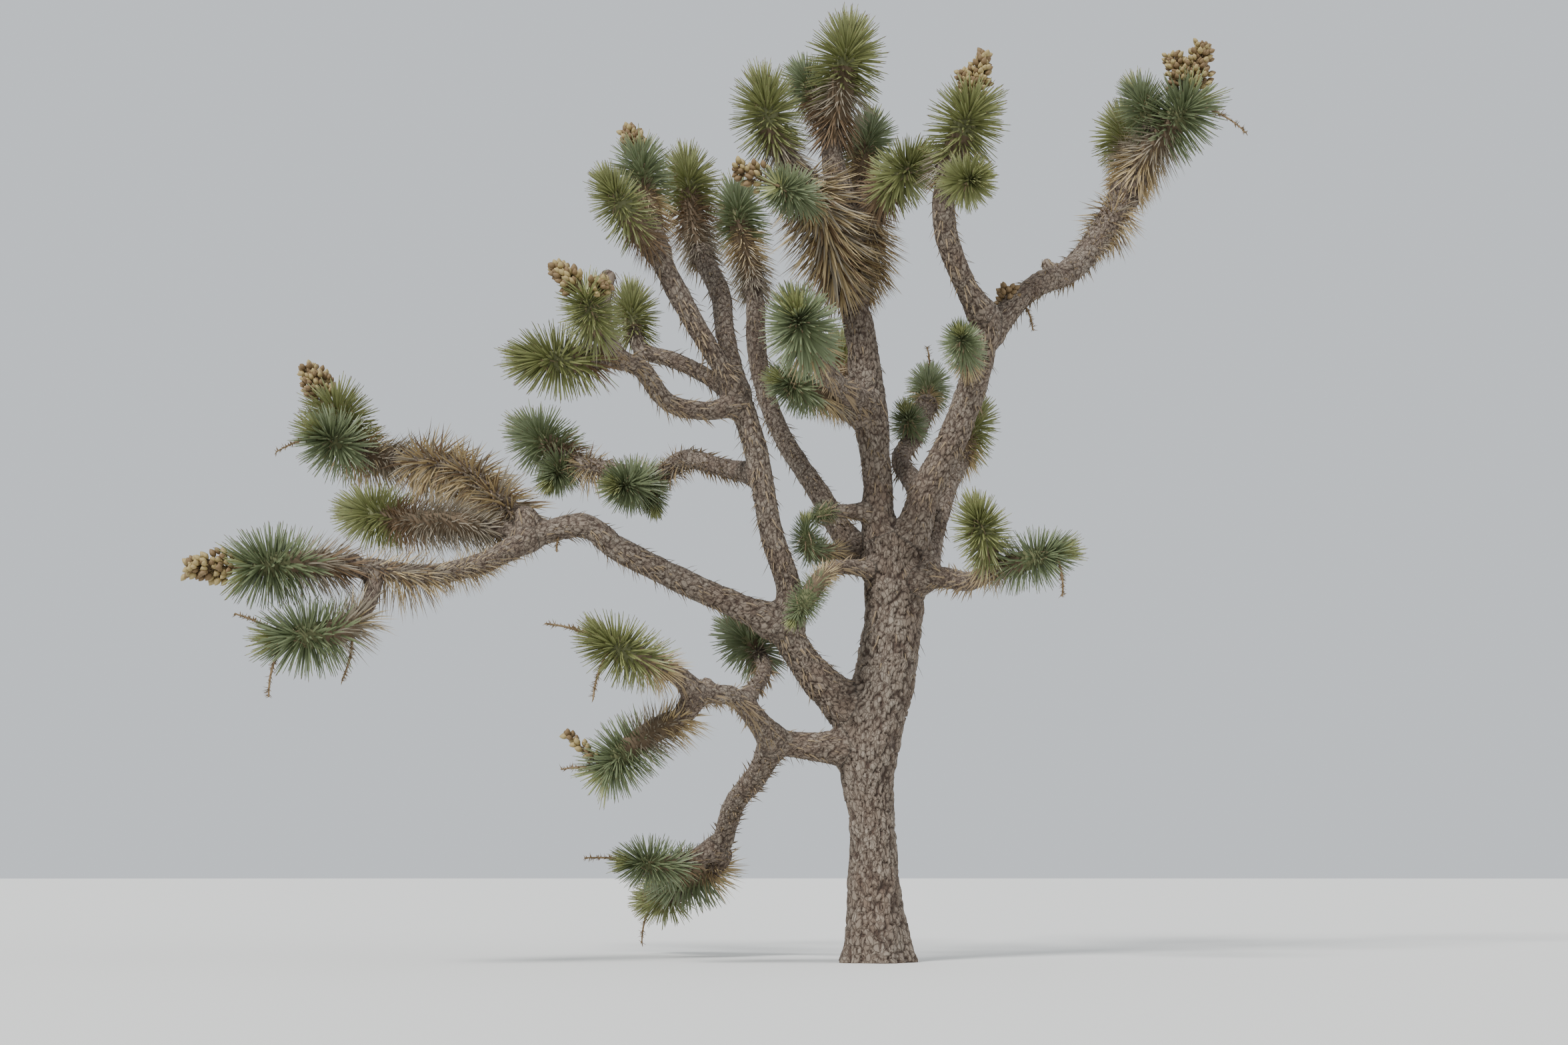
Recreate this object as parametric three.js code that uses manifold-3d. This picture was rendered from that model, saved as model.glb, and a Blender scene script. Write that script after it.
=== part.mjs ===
// A joshua tree, about 5.9 m tall and 6.3 m wide: a leaning trunk, its crooked boughs and the spiky
// heads of dagger leaves that end them. Millimetres, +Z up. The origin is the middle of the flat cut
// at the foot of the trunk, at ground level.
import * as THREE from 'three';
import { mergeVertices } from 'three/addons/utils/BufferGeometryUtils.js';
import Module from 'manifold-3d';

const wasm = await Module();
wasm.setup();

// Clearances between neighbouring solids. Edges shorter than a sliver are merged away.
const JOINT_GAP = 0.35;
const LEAF_GAP = 1;
const SLIVER = 0.2;

// The foot of the trunk: how far the root flare spreads and how high it reaches, and its lobes. The
// trunk is drawn from below the ground, and a block as wide as this is cut off it at ground level.
const FLARE_SPREAD = 1.28;
const FLARE_HEIGHT = 260;
const FLARE_LOBES = 5;
const FLARE_LOBE_DEPTH = 0.09;
const BELOW_GROUND = 120;
const GROUND_BLOCK = 2000;

// Limbs are faceted tubes. Thicker limbs have more sides, and the rings lie about two widths apart.
const SIDES_BY_WIDTH = [[240, 12], [140, 8], [105, 7], [0, 6]];
const RING_SPACING = 2.1;
const FEWEST_RINGS = 3;
const TIP_ROUNDING = 0.5;
const TIP_SHRINK = 0.62;

// An axis whose unit vector rises more than this counts as upright.
const UPRIGHT = 0.9;

// A dagger leaf: its width and thickness, and where its foot is sunk, as shares of its length. It is
// rolled round its own axis by up to so many degrees either way.
const LEAF_WIDTH = 0.3;
const LEAF_THICKNESS = 0.09;
const LEAF_FOOT = 0.2;
const LEAF_ROLL = 23;
const STALK_WIDTH = 15;

// A head of leaves: a dense heart, live leaves in a ball round its tip, and dead ones that lie back
// below them. Angles are in degrees from the way that the stem points.
const HEART_WIDTH = 0.46;
const HEART_SIDES = 5;
const HEART_RING_SPACING = 1.2;
const GOLDEN_ANGLE = 137.508;
const BALL_DEPTH = 130;
const BALL_CROWDING = 0.7;
const LIVE_SHARE = 0.66;
const LIVE_LEAN = [14, 104];
const DEAD_LEAN = [112, 146];
const THATCH_LEAN = [100, 134];
const DEAD_DROOP = 0.45;
const LEAF_WOBBLE = 9;
const LENGTH_WOBBLE = 0.14;
const THATCH_JITTER = 0.6;

// A seed capsule, and how a cluster of them fills its stalk: from one share of the stalk's length to
// another, on twigs that get shorter towards its end.
const CAPSULE_LENGTH = 70;
const CAPSULE_WIDTH = 58;
const CAPSULE_LEAN = 52;
const CAPSULE_WOBBLE = 12;
const CAPSULE_SPACING = 45;
const FEWEST_CAPSULES = 4;
const CLUSTER_SPAN = [0.3, 0.96];
const CLUSTER_TAPER = [0.95, 0.6];

const BARK = { color: 0x5b5046, roughness: 0.95, metalness: 0 };
const FOLIAGE = { color: 0x6a7446, roughness: 0.6, metalness: 0 };

// The trunk and the boughs. Each grows from another, at a share of that one's length. Its stretches
// are [length, bearing, climb, width at the end]: the bearing is in degrees from +X towards +Y, and
// the climb in degrees above the level. Thatch is [start, end, count, length] of the dead leaves that
// hang from a bough, where the start and the end are shares of its length.
const LIMBS = {
  trunk: {
    width: 350,
    stretches: [[360, 180, 89, 290], [530, 180, 88, 270], [370, 180, 88, 355],
      [490, 15, 76, 360], [350, 22, 82, 340], [290, 171, 89, 360]],
  },
  big_left_bough: {
    from: 'trunk', at: 0.55, width: 255,
    stretches: [[240, -169, 34, 230], [280, -160, 44, 190], [290, -153, 53, 180]],
  },
  long_left_bough: {
    from: 'big_left_bough', at: 1, width: 175,
    stretches: [[230, -164, 22, 155], [480, -169, 23, 145], [370, -170, 26, 140],
      [220, -174, 35, 140], [320, 171, -8, 140]],
  },
  left_upper_arm: {
    from: 'long_left_bough', at: 1, width: 135, thatch: [0.12, 0.98, 18, 260],
    stretches: [[440, 136, 36, 120], [470, 132, 30, 125], [540, 138, 14, 120]],
  },
  left_lower_arm: {
    from: 'long_left_bough', at: 1, width: 135, thatch: [0.2, 0.98, 12, 200],
    stretches: [[400, -134, -29, 115], [400, -140, -16, 115], [400, -149, 3, 105]],
  },
  left_fork_stub: {
    from: 'long_left_bough', at: 1, width: 135,
    stretches: [[190, -148, 62, 120]],
  },
  upright_left_bough: {
    from: 'big_left_bough', at: 0.95, width: 175,
    stretches: [[230, -57, 80, 145], [370, -137, 67, 140], [440, -128, 73, 135],
      [390, -155, 72, 140]],
  },
  back_left_bough: {
    from: 'upright_left_bough', at: 0.7, width: 125, thatch: [0.35, 0.98, 8, 170],
    stretches: [[430, 127, 15, 115], [440, 124, 15, 115], [320, 126, -11, 120],
      [530, 138, 13, 115], [290, 135, 14, 115]],
  },
  crooked_left_bough: {
    from: 'upright_left_bough', at: 0.98, width: 125,
    stretches: [[260, -142, -19, 105], [270, -146, 4, 105], [280, -138, 39, 105],
      [210, -151, 5, 100]],
  },
  upper_left_bough: {
    from: 'upright_left_bough', at: 0.99, width: 125,
    stretches: [[270, -129, 43, 110], [440, -146, 53, 125], [290, -158, 62, 120]],
  },
  second_left_bough: {
    from: 'upright_left_bough', at: 0.99, width: 120,
    stretches: [[470, 114, 62, 110], [430, 101, 55, 125], [360, 118, 49, 125]],
  },
  inner_left_bough: {
    from: 'trunk', at: 0.96, width: 190,
    stretches: [[460, 137, 36, 150], [410, 121, 45, 135], [650, 126, 48, 120],
      [560, 120, 59, 125], [610, 100, 71, 125]],
  },
  central_bough: {
    from: 'trunk', at: 0.99, width: 225,
    stretches: [[290, -173, 73, 180], [240, -104, 85, 165], [420, -156, 84, 210],
      [420, -179, 83, 190], [290, -180, 81, 165]],
  },
  right_bough: {
    from: 'trunk', at: 0.99, width: 225,
    stretches: [[250, -22, 57, 185], [250, -32, 69, 175], [430, -28, 60, 175],
      [340, -44, 65, 170], [340, -58, 70, 160]],
  },
  upper_right_bough: {
    from: 'right_bough', at: 0.99, width: 150,
    stretches: [[260, -130, 38, 125], [330, -130, 54, 135], [210, -103, 61, 130],
      [150, -72, 69, 125]],
  },
  far_right_bough: {
    from: 'right_bough', at: 0.92, width: 150, thatch: [0.6, 0.98, 10, 230],
    stretches: [[490, 30, 45, 135], [530, 48, 27, 150], [360, 48, 42, 160], [480, 49, 46, 170]],
  },
  back_right_bough: {
    from: 'right_bough', at: 0.38, width: 130,
    stretches: [[550, 105, 33, 115], [380, 70, 34, 120], [360, 70, 42, 120]],
  },
  low_right_bough: {
    from: 'trunk', at: 0.9, width: 190,
    stretches: [[310, -41, 10, 120], [400, -62, -10, 110], [230, -64, 10, 110]],
  },
  low_left_bough: {
    from: 'trunk', at: 0.5, width: 205,
    stretches: [[330, -159, -2, 155], [270, -162, 6, 150]],
  },
  low_left_front_bough: {
    from: 'low_left_bough', at: 0.99, width: 140,
    stretches: [[290, -112, 22, 125], [300, -117, 22, 115], [320, -128, -1, 110]],
  },
  low_left_back_bough: {
    from: 'low_left_bough', at: 0.99, width: 140,
    stretches: [[370, 110, -31, 130], [360, 114, -24, 130], [450, 106, -38, 125]],
  },
};

// The masses of leaves. Each has one stem that grows from its bough, and may fork: a later shoot
// grows from the shoot of its own mass that "on" counts. Leaves cover the end of a shoot, past the
// share "bare". "reach" is a leaf's length. A cluster of capsules, or an old flower stalk, is a
// stretch of its own from the shoot's end, with the cluster's width in place of the limb's.
const MASSES = {
  left_top_leaves: {
    from: 'left_upper_arm', at: 1,
    shoots: [
      { width: 120, stretches: [[230, 162, 7, 120], [230, 163, 31, 120], [230, 167, 66, 105]],
        bare: 0.1, leaves: 18, reach: 250, cluster: [330, 167, 54, 230] },
      { on: 0, at: 0.38, width: 100, stretches: [[240, -131, 8, 100], [140, -131, 20, 90]],
        bare: 0.4, leaves: 10, reach: 240 },
    ],
  },
  left_middle_leaves: {
    from: 'long_left_bough', at: 1,
    shoots: [
      { width: 110, stretches: [[450, 174, 9, 95], [410, 150, 8, 90], [350, 154, 12, 90]],
        bare: 0.22, leaves: 26, reach: 215 },
    ],
  },
  left_front_leaves: {
    from: 'left_lower_arm', at: 1,
    shoots: [
      { width: 105, stretches: [[220, -154, -1, 105], [220, -153, -5, 95], [160, -162, -8, 85]],
        bare: 0.2, leaves: 18, reach: 230, cluster: [320, -163, -2, 200] },
    ],
  },
  left_hanging_leaves: {
    from: 'left_lower_arm', at: 0.93,
    shoots: [
      { width: 95, stretches: [[230, -95, -67, 80], [230, -143, -43, 80], [290, -160, -10, 80]],
        bare: 0.5, leaves: 13, reach: 225, stalk: [330, -150, -62] },
    ],
  },
  back_left_leaves: {
    from: 'back_left_bough', at: 1,
    shoots: [
      { width: 115, stretches: [[200, 143, 33, 115], [240, 149, 36, 105]],
        bare: 0.15, leaves: 14, reach: 240 },
      { on: 0, at: 0.15, width: 90, stretches: [[210, -121, -44, 85]],
        bare: 0.4, leaves: 8, reach: 175 },
    ],
  },
  back_left_lower_leaves: {
    from: 'back_left_bough', at: 0.6,
    shoots: [
      { width: 110, stretches: [[250, -118, -20, 100], [170, -120, -11, 90]],
        bare: 0.3, leaves: 12, reach: 195 },
      { on: 0, at: 0.2, width: 95, stretches: [[110, -80, -50, 90], [90, -60, -60, 80]],
        bare: 0.3, leaves: 8, reach: 140 },
    ],
  },
  crooked_left_leaves: {
    from: 'crooked_left_bough', at: 1,
    shoots: [
      { width: 100, stretches: [[230, -153, -8, 95], [170, -163, -2, 90]],
        bare: 0.2, leaves: 14, reach: 225 },
    ],
  },
  crooked_left_top_leaves: {
    from: 'crooked_left_bough', at: 0.88,
    shoots: [
      { width: 90, stretches: [[230, -112, 20, 90], [170, -109, 22, 90], [160, -106, 49, 80]],
        bare: 0.45, leaves: 9, reach: 180, cluster: [240, 172, 44, 150] },
    ],
  },
  loop_leaves: {
    from: 'upright_left_bough', at: 0.99,
    shoots: [
      { width: 100, stretches: [[300, 163, 36, 95], [210, 155, 28, 95], [210, 165, 21, 95],
        [180, 142, 63, 95], [180, 104, 73, 90]],
        bare: 0.66, leaves: 10, reach: 180 },
    ],
  },
  upper_left_leaves: {
    from: 'upper_left_bough', at: 1,
    shoots: [
      { width: 120, stretches: [[180, -138, 36, 115], [190, -135, 42, 105], [110, -138, 48, 90]],
        bare: 0.1, leaves: 15, reach: 215 },
    ],
  },
  upper_left_top_leaves: {
    from: 'upper_left_bough', at: 0.96,
    shoots: [
      { width: 110, stretches: [[320, 110, 55, 110], [300, 114, 63, 105], [190, 124, 72, 95]],
        bare: 0.35, leaves: 15, reach: 200, cluster: [210, 150, 66, 170] },
    ],
  },
  second_left_leaves: {
    from: 'second_left_bough', at: 1,
    shoots: [
      { width: 125, stretches: [[230, 120, 61, 125], [290, 111, 69, 120], [210, 117, 73, 105]],
        bare: 0.1, leaves: 18, reach: 220 },
    ],
  },
  inner_left_leaves: {
    from: 'inner_left_bough', at: 1,
    shoots: [
      { width: 125, stretches: [[210, 124, 73, 125], [290, 145, 73, 130], [240, 117, 76, 110]],
        bare: 0.1, leaves: 18, reach: 230 },
    ],
  },
  front_ball_leaves: {
    from: 'central_bough', at: 0.62,
    shoots: [
      { width: 140, stretches: [[490, -112, 0, 125], [530, -107, 9, 115], [230, -112, 21, 105],
        [160, -102, 22, 90]],
        bare: 0.62, leaves: 20, reach: 230 },
    ],
  },
  front_bud_leaves: {
    from: 'central_bough', at: 0.58,
    shoots: [
      { width: 140, stretches: [[420, -133, 9, 135], [250, -128, 4, 115], [140, -133, 7, 95]],
        bare: 0.25, leaves: 14, reach: 170 },
    ],
  },
  back_middle_leaves: {
    from: 'central_bough', at: 0.54,
    shoots: [
      { width: 130, stretches: [[570, 97, 29, 120], [500, 101, 35, 115], [390, 99, 40, 105]],
        bare: 0.6, leaves: 15, reach: 200 },
    ],
  },
  hook_leaves: {
    from: 'inner_left_bough', at: 0.13,
    shoots: [
      { width: 115, stretches: [[260, -132, -9, 95], [230, -132, -1, 95], [140, -102, 58, 80]],
        bare: 0.3, leaves: 9, reach: 140 },
    ],
  },
  link_leaves: {
    from: 'central_bough', at: 0.24,
    shoots: [
      { width: 105, stretches: [[260, -149, -4, 85], [120, -154, -9, 85], [90, -142, -25, 80]],
        bare: 0.5, leaves: 8, reach: 135 },
    ],
  },
  under_fork_leaves: {
    from: 'trunk', at: 0.96,
    shoots: [
      { width: 115, stretches: [[400, -142, 1, 85], [260, -122, -22, 80], [320, -134, -49, 75]],
        bare: 0.55, leaves: 11, reach: 160 },
    ],
  },
  top_leaves: {
    from: 'central_bough', at: 1,
    shoots: [
      { width: 165, stretches: [[290, 126, 85, 190], [360, -158, 81, 165], [310, 180, 78, 135],
        [390, 0, 82, 125], [330, 0, 81, 110]],
        bare: 0.68, leaves: 18, reach: 255, thatch: [0.05, 0.3, 12, 250] },
      { on: 0, at: 0.64, width: 110, stretches: [[310, 114, 58, 100], [370, 118, 52, 95]],
        bare: 0.35, leaves: 12, reach: 190 },
    ],
  },
  top_left_leaves: {
    from: 'central_bough', at: 1,
    shoots: [
      { width: 145, stretches: [[310, -131, 50, 165], [400, -127, 62, 155], [230, -151, 44, 140],
        [210, -149, 51, 120], [230, -131, 72, 95]],
        bare: 0.66, leaves: 17, reach: 230, thatch: [0.1, 0.5, 14, 260] },
      { on: 0, at: 0.33, width: 105, stretches: [[270, -115, 4, 95], [250, -125, 2, 85]],
        bare: 0.6, leaves: 8, reach: 170, cluster: [280, 175, 25, 200] },
    ],
  },
  top_right_leaves: {
    from: 'central_bough', at: 1,
    shoots: [
      { width: 145, stretches: [[340, 50, 67, 165], [270, -59, 77, 150], [300, -66, 22, 120],
        [240, -57, 13, 105]],
        bare: 0.58, leaves: 15, reach: 215, thatch: [0.08, 0.5, 12, 230] },
      { on: 0, at: 0.44, width: 115, stretches: [[410, 101, 56, 110], [460, 73, 63, 105]],
        bare: 0.45, leaves: 12, reach: 200 },
    ],
  },
  upper_right_leaves: {
    from: 'upper_right_bough', at: 1,
    shoots: [
      { width: 125, stretches: [[110, -54, 56, 125], [170, -40, 62, 110], [140, -24, 69, 95]],
        bare: 0.1, leaves: 17, reach: 235, cluster: [310, -20, 76, 160] },
      { on: 0, at: 0.16, width: 100, stretches: [[240, -74, -39, 90], [160, -69, -10, 85]],
        bare: 0.4, leaves: 9, reach: 175 },
    ],
  },
  far_right_inner_leaves: {
    from: 'far_right_bough', at: 1,
    shoots: [
      { width: 165, stretches: [[340, 66, 50, 150], [330, 84, 53, 135], [190, 95, 59, 110]],
        bare: 0.2, leaves: 18, reach: 235 },
    ],
  },
  far_right_leaves: {
    from: 'far_right_bough', at: 1,
    shoots: [
      { width: 165, stretches: [[320, -19, 60, 150], [250, -18, 49, 130], [200, -21, 46, 105]],
        bare: 0.2, leaves: 18, reach: 265, cluster: [380, -35, 76, 200],
        stalk: [430, -22, -24] },
      { on: 0, at: 0.5, width: 115, stretches: [[200, 150, 72, 105], [150, 160, 68, 90]],
        bare: 0.3, leaves: 10, reach: 200 },
    ],
  },
  back_right_leaves: {
    from: 'back_right_bough', at: 1,
    shoots: [
      { width: 120, stretches: [[190, 80, 39, 115], [210, 83, 43, 100]],
        bare: 0.1, leaves: 12, reach: 165 },
    ],
  },
  back_right_lower_leaves: {
    from: 'back_right_bough', at: 0.64,
    shoots: [
      { width: 110, stretches: [[140, -101, 18, 100], [120, -105, 33, 85]],
        bare: 0.35, leaves: 8, reach: 140 },
    ],
  },
  right_side_leaves: {
    from: 'right_bough', at: 0.78,
    shoots: [
      { width: 110, stretches: [[280, -105, 15, 100], [260, -102, 14, 85]],
        bare: 0.35, leaves: 12, reach: 170 },
    ],
  },
  right_middle_leaves: {
    from: 'low_right_bough', at: 0.27,
    shoots: [
      { width: 120, stretches: [[450, 75, 46, 105], [530, 72, 45, 110], [370, 65, 42, 110],
        [330, 60, 59, 95]],
        bare: 0.72, leaves: 13, reach: 185 },
    ],
  },
  low_right_front_leaves: {
    from: 'low_right_bough', at: 1,
    shoots: [
      { width: 110, stretches: [[170, -103, 43, 105], [210, -117, 46, 80]],
        bare: 0.1, leaves: 12, reach: 180 },
    ],
  },
  low_right_leaves: {
    from: 'low_right_bough', at: 0.98,
    shoots: [
      { width: 110, stretches: [[200, -34, 9, 105], [210, -23, 11, 85]],
        bare: 0.2, leaves: 12, reach: 185, stalk: [260, -50, -62] },
    ],
  },
  low_left_front_leaves: {
    from: 'low_left_front_bough', at: 1,
    shoots: [
      { width: 110, stretches: [[170, -132, 32, 105], [180, -141, 17, 100], [190, -144, 18, 95],
        [140, -157, 26, 80]],
        bare: 0.45, leaves: 14, reach: 195, stalk: [330, -165, 22] },
    ],
  },
  low_left_hanging_leaves: {
    from: 'low_left_front_bough', at: 1,
    shoots: [
      { width: 110, stretches: [[160, 151, -49, 105], [160, 161, -25, 105], [200, 162, -32, 95],
        [170, 171, -44, 80]],
        bare: 0.25, leaves: 17, reach: 205, cluster: [330, 172, 42, 90] },
    ],
  },
  low_left_inner_leaves: {
    from: 'low_left_front_bough', at: 0.56,
    shoots: [
      { width: 100, stretches: [[480, 74, 26, 85], [240, 97, 30, 90], [290, 124, 37, 80]],
        bare: 0.68, leaves: 10, reach: 175 },
    ],
  },
  low_left_back_leaves: {
    from: 'low_left_back_bough', at: 1,
    shoots: [
      { width: 130, stretches: [[170, 122, -47, 125], [190, 147, -15, 120], [130, 158, -10, 100]],
        bare: 0.25, leaves: 12, reach: 225 },
      { on: 0, at: 0.38, width: 110, stretches: [[420, 122, -20, 105], [190, 148, -11, 85]],
        bare: 0.6, leaves: 9, reach: 190, stalk: [290, 160, -60] },
    ],
  },
  low_left_side_leaves: {
    from: 'low_left_back_bough', at: 0.97,
    shoots: [
      { width: 125, stretches: [[340, -147, -20, 105], [290, -149, 2, 90]],
        bare: 0.5, leaves: 11, reach: 185, stalk: [300, 178, 12] },
    ],
  },
};

const radians = THREE.MathUtils.degToRad;
const { lerp, smoothstep } = THREE.MathUtils;

// Numbers from 0 to 1 that come out the same each time for the same word.
function seeded(word) {
  const hashStart = 2166136261;
  const hashFactor = 16777619;
  let state = hashStart;
  for (const letter of word) {
    state = Math.imul(state ^ letter.charCodeAt(0), hashFactor);
  }
  return () => {
    state = Math.imul(state ^ (state >>> 15), state | 1);
    state ^= state + Math.imul(state ^ (state >>> 7), state | 61);
    return ((state ^ (state >>> 14)) >>> 0) / 2 ** 32;
  };
}

// A number between -most and most.
function wobble(random, most) {
  return (random() * 2 - 1) * most;
}

function heading(bearing, climb) {
  const level = Math.cos(radians(climb));
  const east = level * Math.cos(radians(bearing));
  const north = level * Math.sin(radians(bearing));
  return new THREE.Vector3(east, north, Math.sin(radians(climb)));
}

// The direction square to an axis that rises most, or lies nearest to +X where the axis is upright.
function squareTo(axis) {
  const wanted = Math.abs(axis.z) > UPRIGHT ? new THREE.Vector3(1, 0, 0) : new THREE.Vector3(0, 0, 1);
  return wanted.addScaledVector(axis, -wanted.dot(axis)).normalize();
}

// A direction that leans away from an axis, at a turn round it.
function leaning(axis, turn, lean) {
  const side = squareTo(axis).applyAxisAngle(axis, radians(turn));
  return side.multiplyScalar(Math.sin(radians(lean))).addScaledVector(axis, Math.cos(radians(lean)));
}

// The centre line of a limb: a smooth curve through the ends of its stretches, and its widths.
function centreLine(start, { width, stretches }) {
  const elbows = [start.clone()];
  const widths = [width];
  for (const [length, bearing, climb, endWidth] of stretches) {
    elbows.push(elbows.at(-1).clone().addScaledVector(heading(bearing, climb), length));
    widths.push(endWidth);
  }
  const curve = new THREE.CatmullRomCurve3(elbows, false, 'centripetal');
  const widthAt = (share) => {
    const place = share * (widths.length - 1);
    const below = Math.min(Math.floor(place), widths.length - 2);
    return lerp(widths[below], widths[below + 1], place - below);
  };
  return { curve, widthAt, length: curve.getLength() };
}

// Turns a closed geometry into a solid that can be joined and cut.
function solidFrom(geometry) {
  geometry.deleteAttribute('normal');
  geometry.deleteAttribute('uv');
  const merged = mergeVertices(geometry);
  const mesh = new wasm.Mesh({
    numProp: 3,
    vertProperties: new Float32Array(merged.attributes.position.array),
    triVerts: new Uint32Array(merged.index.array),
  });
  return new wasm.Manifold(mesh);
}

function solidOf(positions, indices) {
  const geometry = new THREE.BufferGeometry();
  geometry.setAttribute('position', new THREE.Float32BufferAttribute(positions, 3));
  geometry.setIndex(indices);
  return solidFrom(geometry);
}

// A tapering tube along a line, with a rounded tip. "extra" makes it that much thicker all round,
// which is how one limb is cut clear of another. "shape" is the share of the width at an angle.
function tube(line, { sides, shares, extra = 0, shape = () => 1 }) {
  const positions = [];
  const indices = [];
  const side = squareTo(line.curve.getTangent(0));
  const addRing = (centre, forward, radius, share) => {
    side.addScaledVector(forward, -side.dot(forward)).normalize();
    const across = forward.clone().cross(side);
    for (let k = 0; k < sides; k += 1) {
      const angle = (k / sides) * Math.PI * 2;
      const reach = radius * shape(angle, share) + extra;
      const spoke = side.clone().multiplyScalar(Math.cos(angle) * reach);
      spoke.addScaledVector(across, Math.sin(angle) * reach);
      positions.push(...spoke.add(centre).toArray());
    }
  };
  for (const share of shares) {
    const forward = line.curve.getTangent(share);
    const centre = line.curve.getPoint(share);
    if (share === 0) {
      centre.addScaledVector(forward, -extra);
    }
    addRing(centre, forward, line.widthAt(share) / 2, share);
  }
  const forward = line.curve.getTangent(1);
  const radius = line.widthAt(1) / 2;
  const tip = line.curve.getPoint(1).addScaledVector(forward, radius * TIP_ROUNDING + extra);
  addRing(tip, forward, radius * TIP_SHRINK, 1);
  for (let i = 0; i < shares.length; i += 1) {
    for (let k = 0; k < sides; k += 1) {
      const here = i * sides + k;
      const next = i * sides + (k + 1) % sides;
      indices.push(here, next, here + sides, next, next + sides, here + sides);
    }
  }
  const last = shares.length * sides;
  for (let k = 1; k < sides - 1; k += 1) {
    indices.push(0, k + 1, k);
    indices.push(last, last + k, last + k + 1);
  }
  return solidOf(positions, indices);
}

// Evenly spaced shares from a start to an end, both counted in.
function evenShares(start, end, steps) {
  return Array.from({ length: steps + 1 }, (_, k) => lerp(start, end, k / steps));
}

function limbTube(line, extra = 0, shape = undefined) {
  const middle = line.widthAt(0.5);
  const sides = SIDES_BY_WIDTH.find(([width]) => middle >= width)[1];
  const steps = Math.max(FEWEST_RINGS, Math.round(line.length / (middle * RING_SPACING)));
  return tube(line, { sides, shares: evenShares(0, 1, steps), extra, shape });
}

// The stem of a shoot. Under its leaves it swells into the dense heart of the head.
function shootTube(line, { bare, reach }, extra = 0) {
  const bareLength = line.length * bare;
  const leafyLength = line.length - bareLength;
  const bareSteps = Math.max(1, Math.round(bareLength / (line.widthAt(bare) * RING_SPACING)));
  const leafySteps = Math.max(2, Math.round(leafyLength / (reach * HEART_RING_SPACING)));
  const shares = [...evenShares(0, bare, bareSteps), ...evenShares(bare, 1, leafySteps).slice(1)];
  const shape = (angle, share) => {
    const swelling = smoothstep(share, bare, bare + (1 - bare) / leafySteps);
    const heart = (reach * HEART_WIDTH) / (line.widthAt(share) / 2);
    return lerp(1, Math.max(heart, 1), swelling);
  };
  return tube(line, { sides: HEART_SIDES, shares, extra, shape });
}

// A long pyramid with a flat upper side and a keel below. Its foot is sunk in what carries it.
function spike(foot, direction, up, length, width, thickness) {
  const across = direction.clone().cross(up).normalize();
  const over = across.clone().cross(direction).normalize();
  const corners = [
    foot.clone().addScaledVector(across, width / 2).addScaledVector(over, thickness / 2),
    foot.clone().addScaledVector(across, -width / 2).addScaledVector(over, thickness / 2),
    foot.clone().addScaledVector(over, -thickness / 2),
    foot.clone().addScaledVector(direction, length),
  ];
  const faces = [0, 1, 2, 0, 2, 3, 2, 1, 3, 1, 0, 3];
  return solidOf(corners.flatMap((corner) => corner.toArray()), faces);
}

// A dagger leaf, widest at its foot. It is measured from the middle line of the stem it grows on.
function leaf(root, direction, length, random) {
  const up = squareTo(direction).applyAxisAngle(direction, radians(wobble(random, LEAF_ROLL)));
  const foot = root.clone().addScaledVector(direction, length * LEAF_FOOT);
  const shown = length * (1 - LEAF_FOOT);
  return spike(foot, direction, up, shown, length * LEAF_WIDTH, length * LEAF_THICKNESS);
}

// A dead leaf lies back along its stem, and its own weight bends it down.
function drooping(direction) {
  direction.z -= DEAD_DROOP;
  return direction.normalize();
}

// Live leaves fan out from a shoot's tip, the straightest first.
function liveLeaves(line, { bare, leaves, reach }, random) {
  const made = [];
  const count = Math.round(leaves * LIVE_SHARE);
  const ballShare = Math.min(BALL_DEPTH / line.length, 1 - bare);
  for (let k = 0; k < count; k += 1) {
    const share = (k + 0.5) / count;
    const place = 1 - share ** BALL_CROWDING * ballShare;
    const lean = lerp(LIVE_LEAN[0], LIVE_LEAN[1], share) + wobble(random, LEAF_WOBBLE);
    const turn = k * GOLDEN_ANGLE + wobble(random, LEAF_WOBBLE);
    const direction = leaning(line.curve.getTangent(place), turn, lean);
    const length = reach * (1 + wobble(random, LENGTH_WOBBLE));
    made.push(leaf(line.curve.getPoint(place), direction, length, random));
  }
  return made;
}

// Dead leaves cover the rest of a shoot's leafy end, from the ball of live ones downwards.
function deadLeaves(line, { bare, leaves, reach }, random) {
  const made = [];
  const live = Math.round(leaves * LIVE_SHARE);
  const ballShare = Math.min(BALL_DEPTH / line.length, 1 - bare);
  for (let k = live; k < leaves; k += 1) {
    const share = (k - live + 0.5) / (leaves - live);
    const place = lerp(1 - ballShare, bare, share);
    const lean = lerp(DEAD_LEAN[0], DEAD_LEAN[1], share) + wobble(random, LEAF_WOBBLE);
    const turn = k * GOLDEN_ANGLE + wobble(random, LEAF_WOBBLE);
    const direction = drooping(leaning(line.curve.getTangent(place), turn, lean));
    const length = reach * (1 + wobble(random, LENGTH_WOBBLE));
    made.push(leaf(line.curve.getPoint(place), direction, length, random));
  }
  return made;
}

// Dead leaves that hang from a stretch of a limb: its thatch.
function thatchLeaves(line, [start, end, count, length], random) {
  const made = [];
  for (let k = 0; k < count; k += 1) {
    const place = lerp(start, end, (k + random() * THATCH_JITTER) / count);
    const lean = lerp(THATCH_LEAN[0], THATCH_LEAN[1], random());
    const direction = drooping(leaning(line.curve.getTangent(place), k * GOLDEN_ANGLE, lean));
    made.push(leaf(line.curve.getPoint(place), direction, length, random));
  }
  return made;
}

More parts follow.
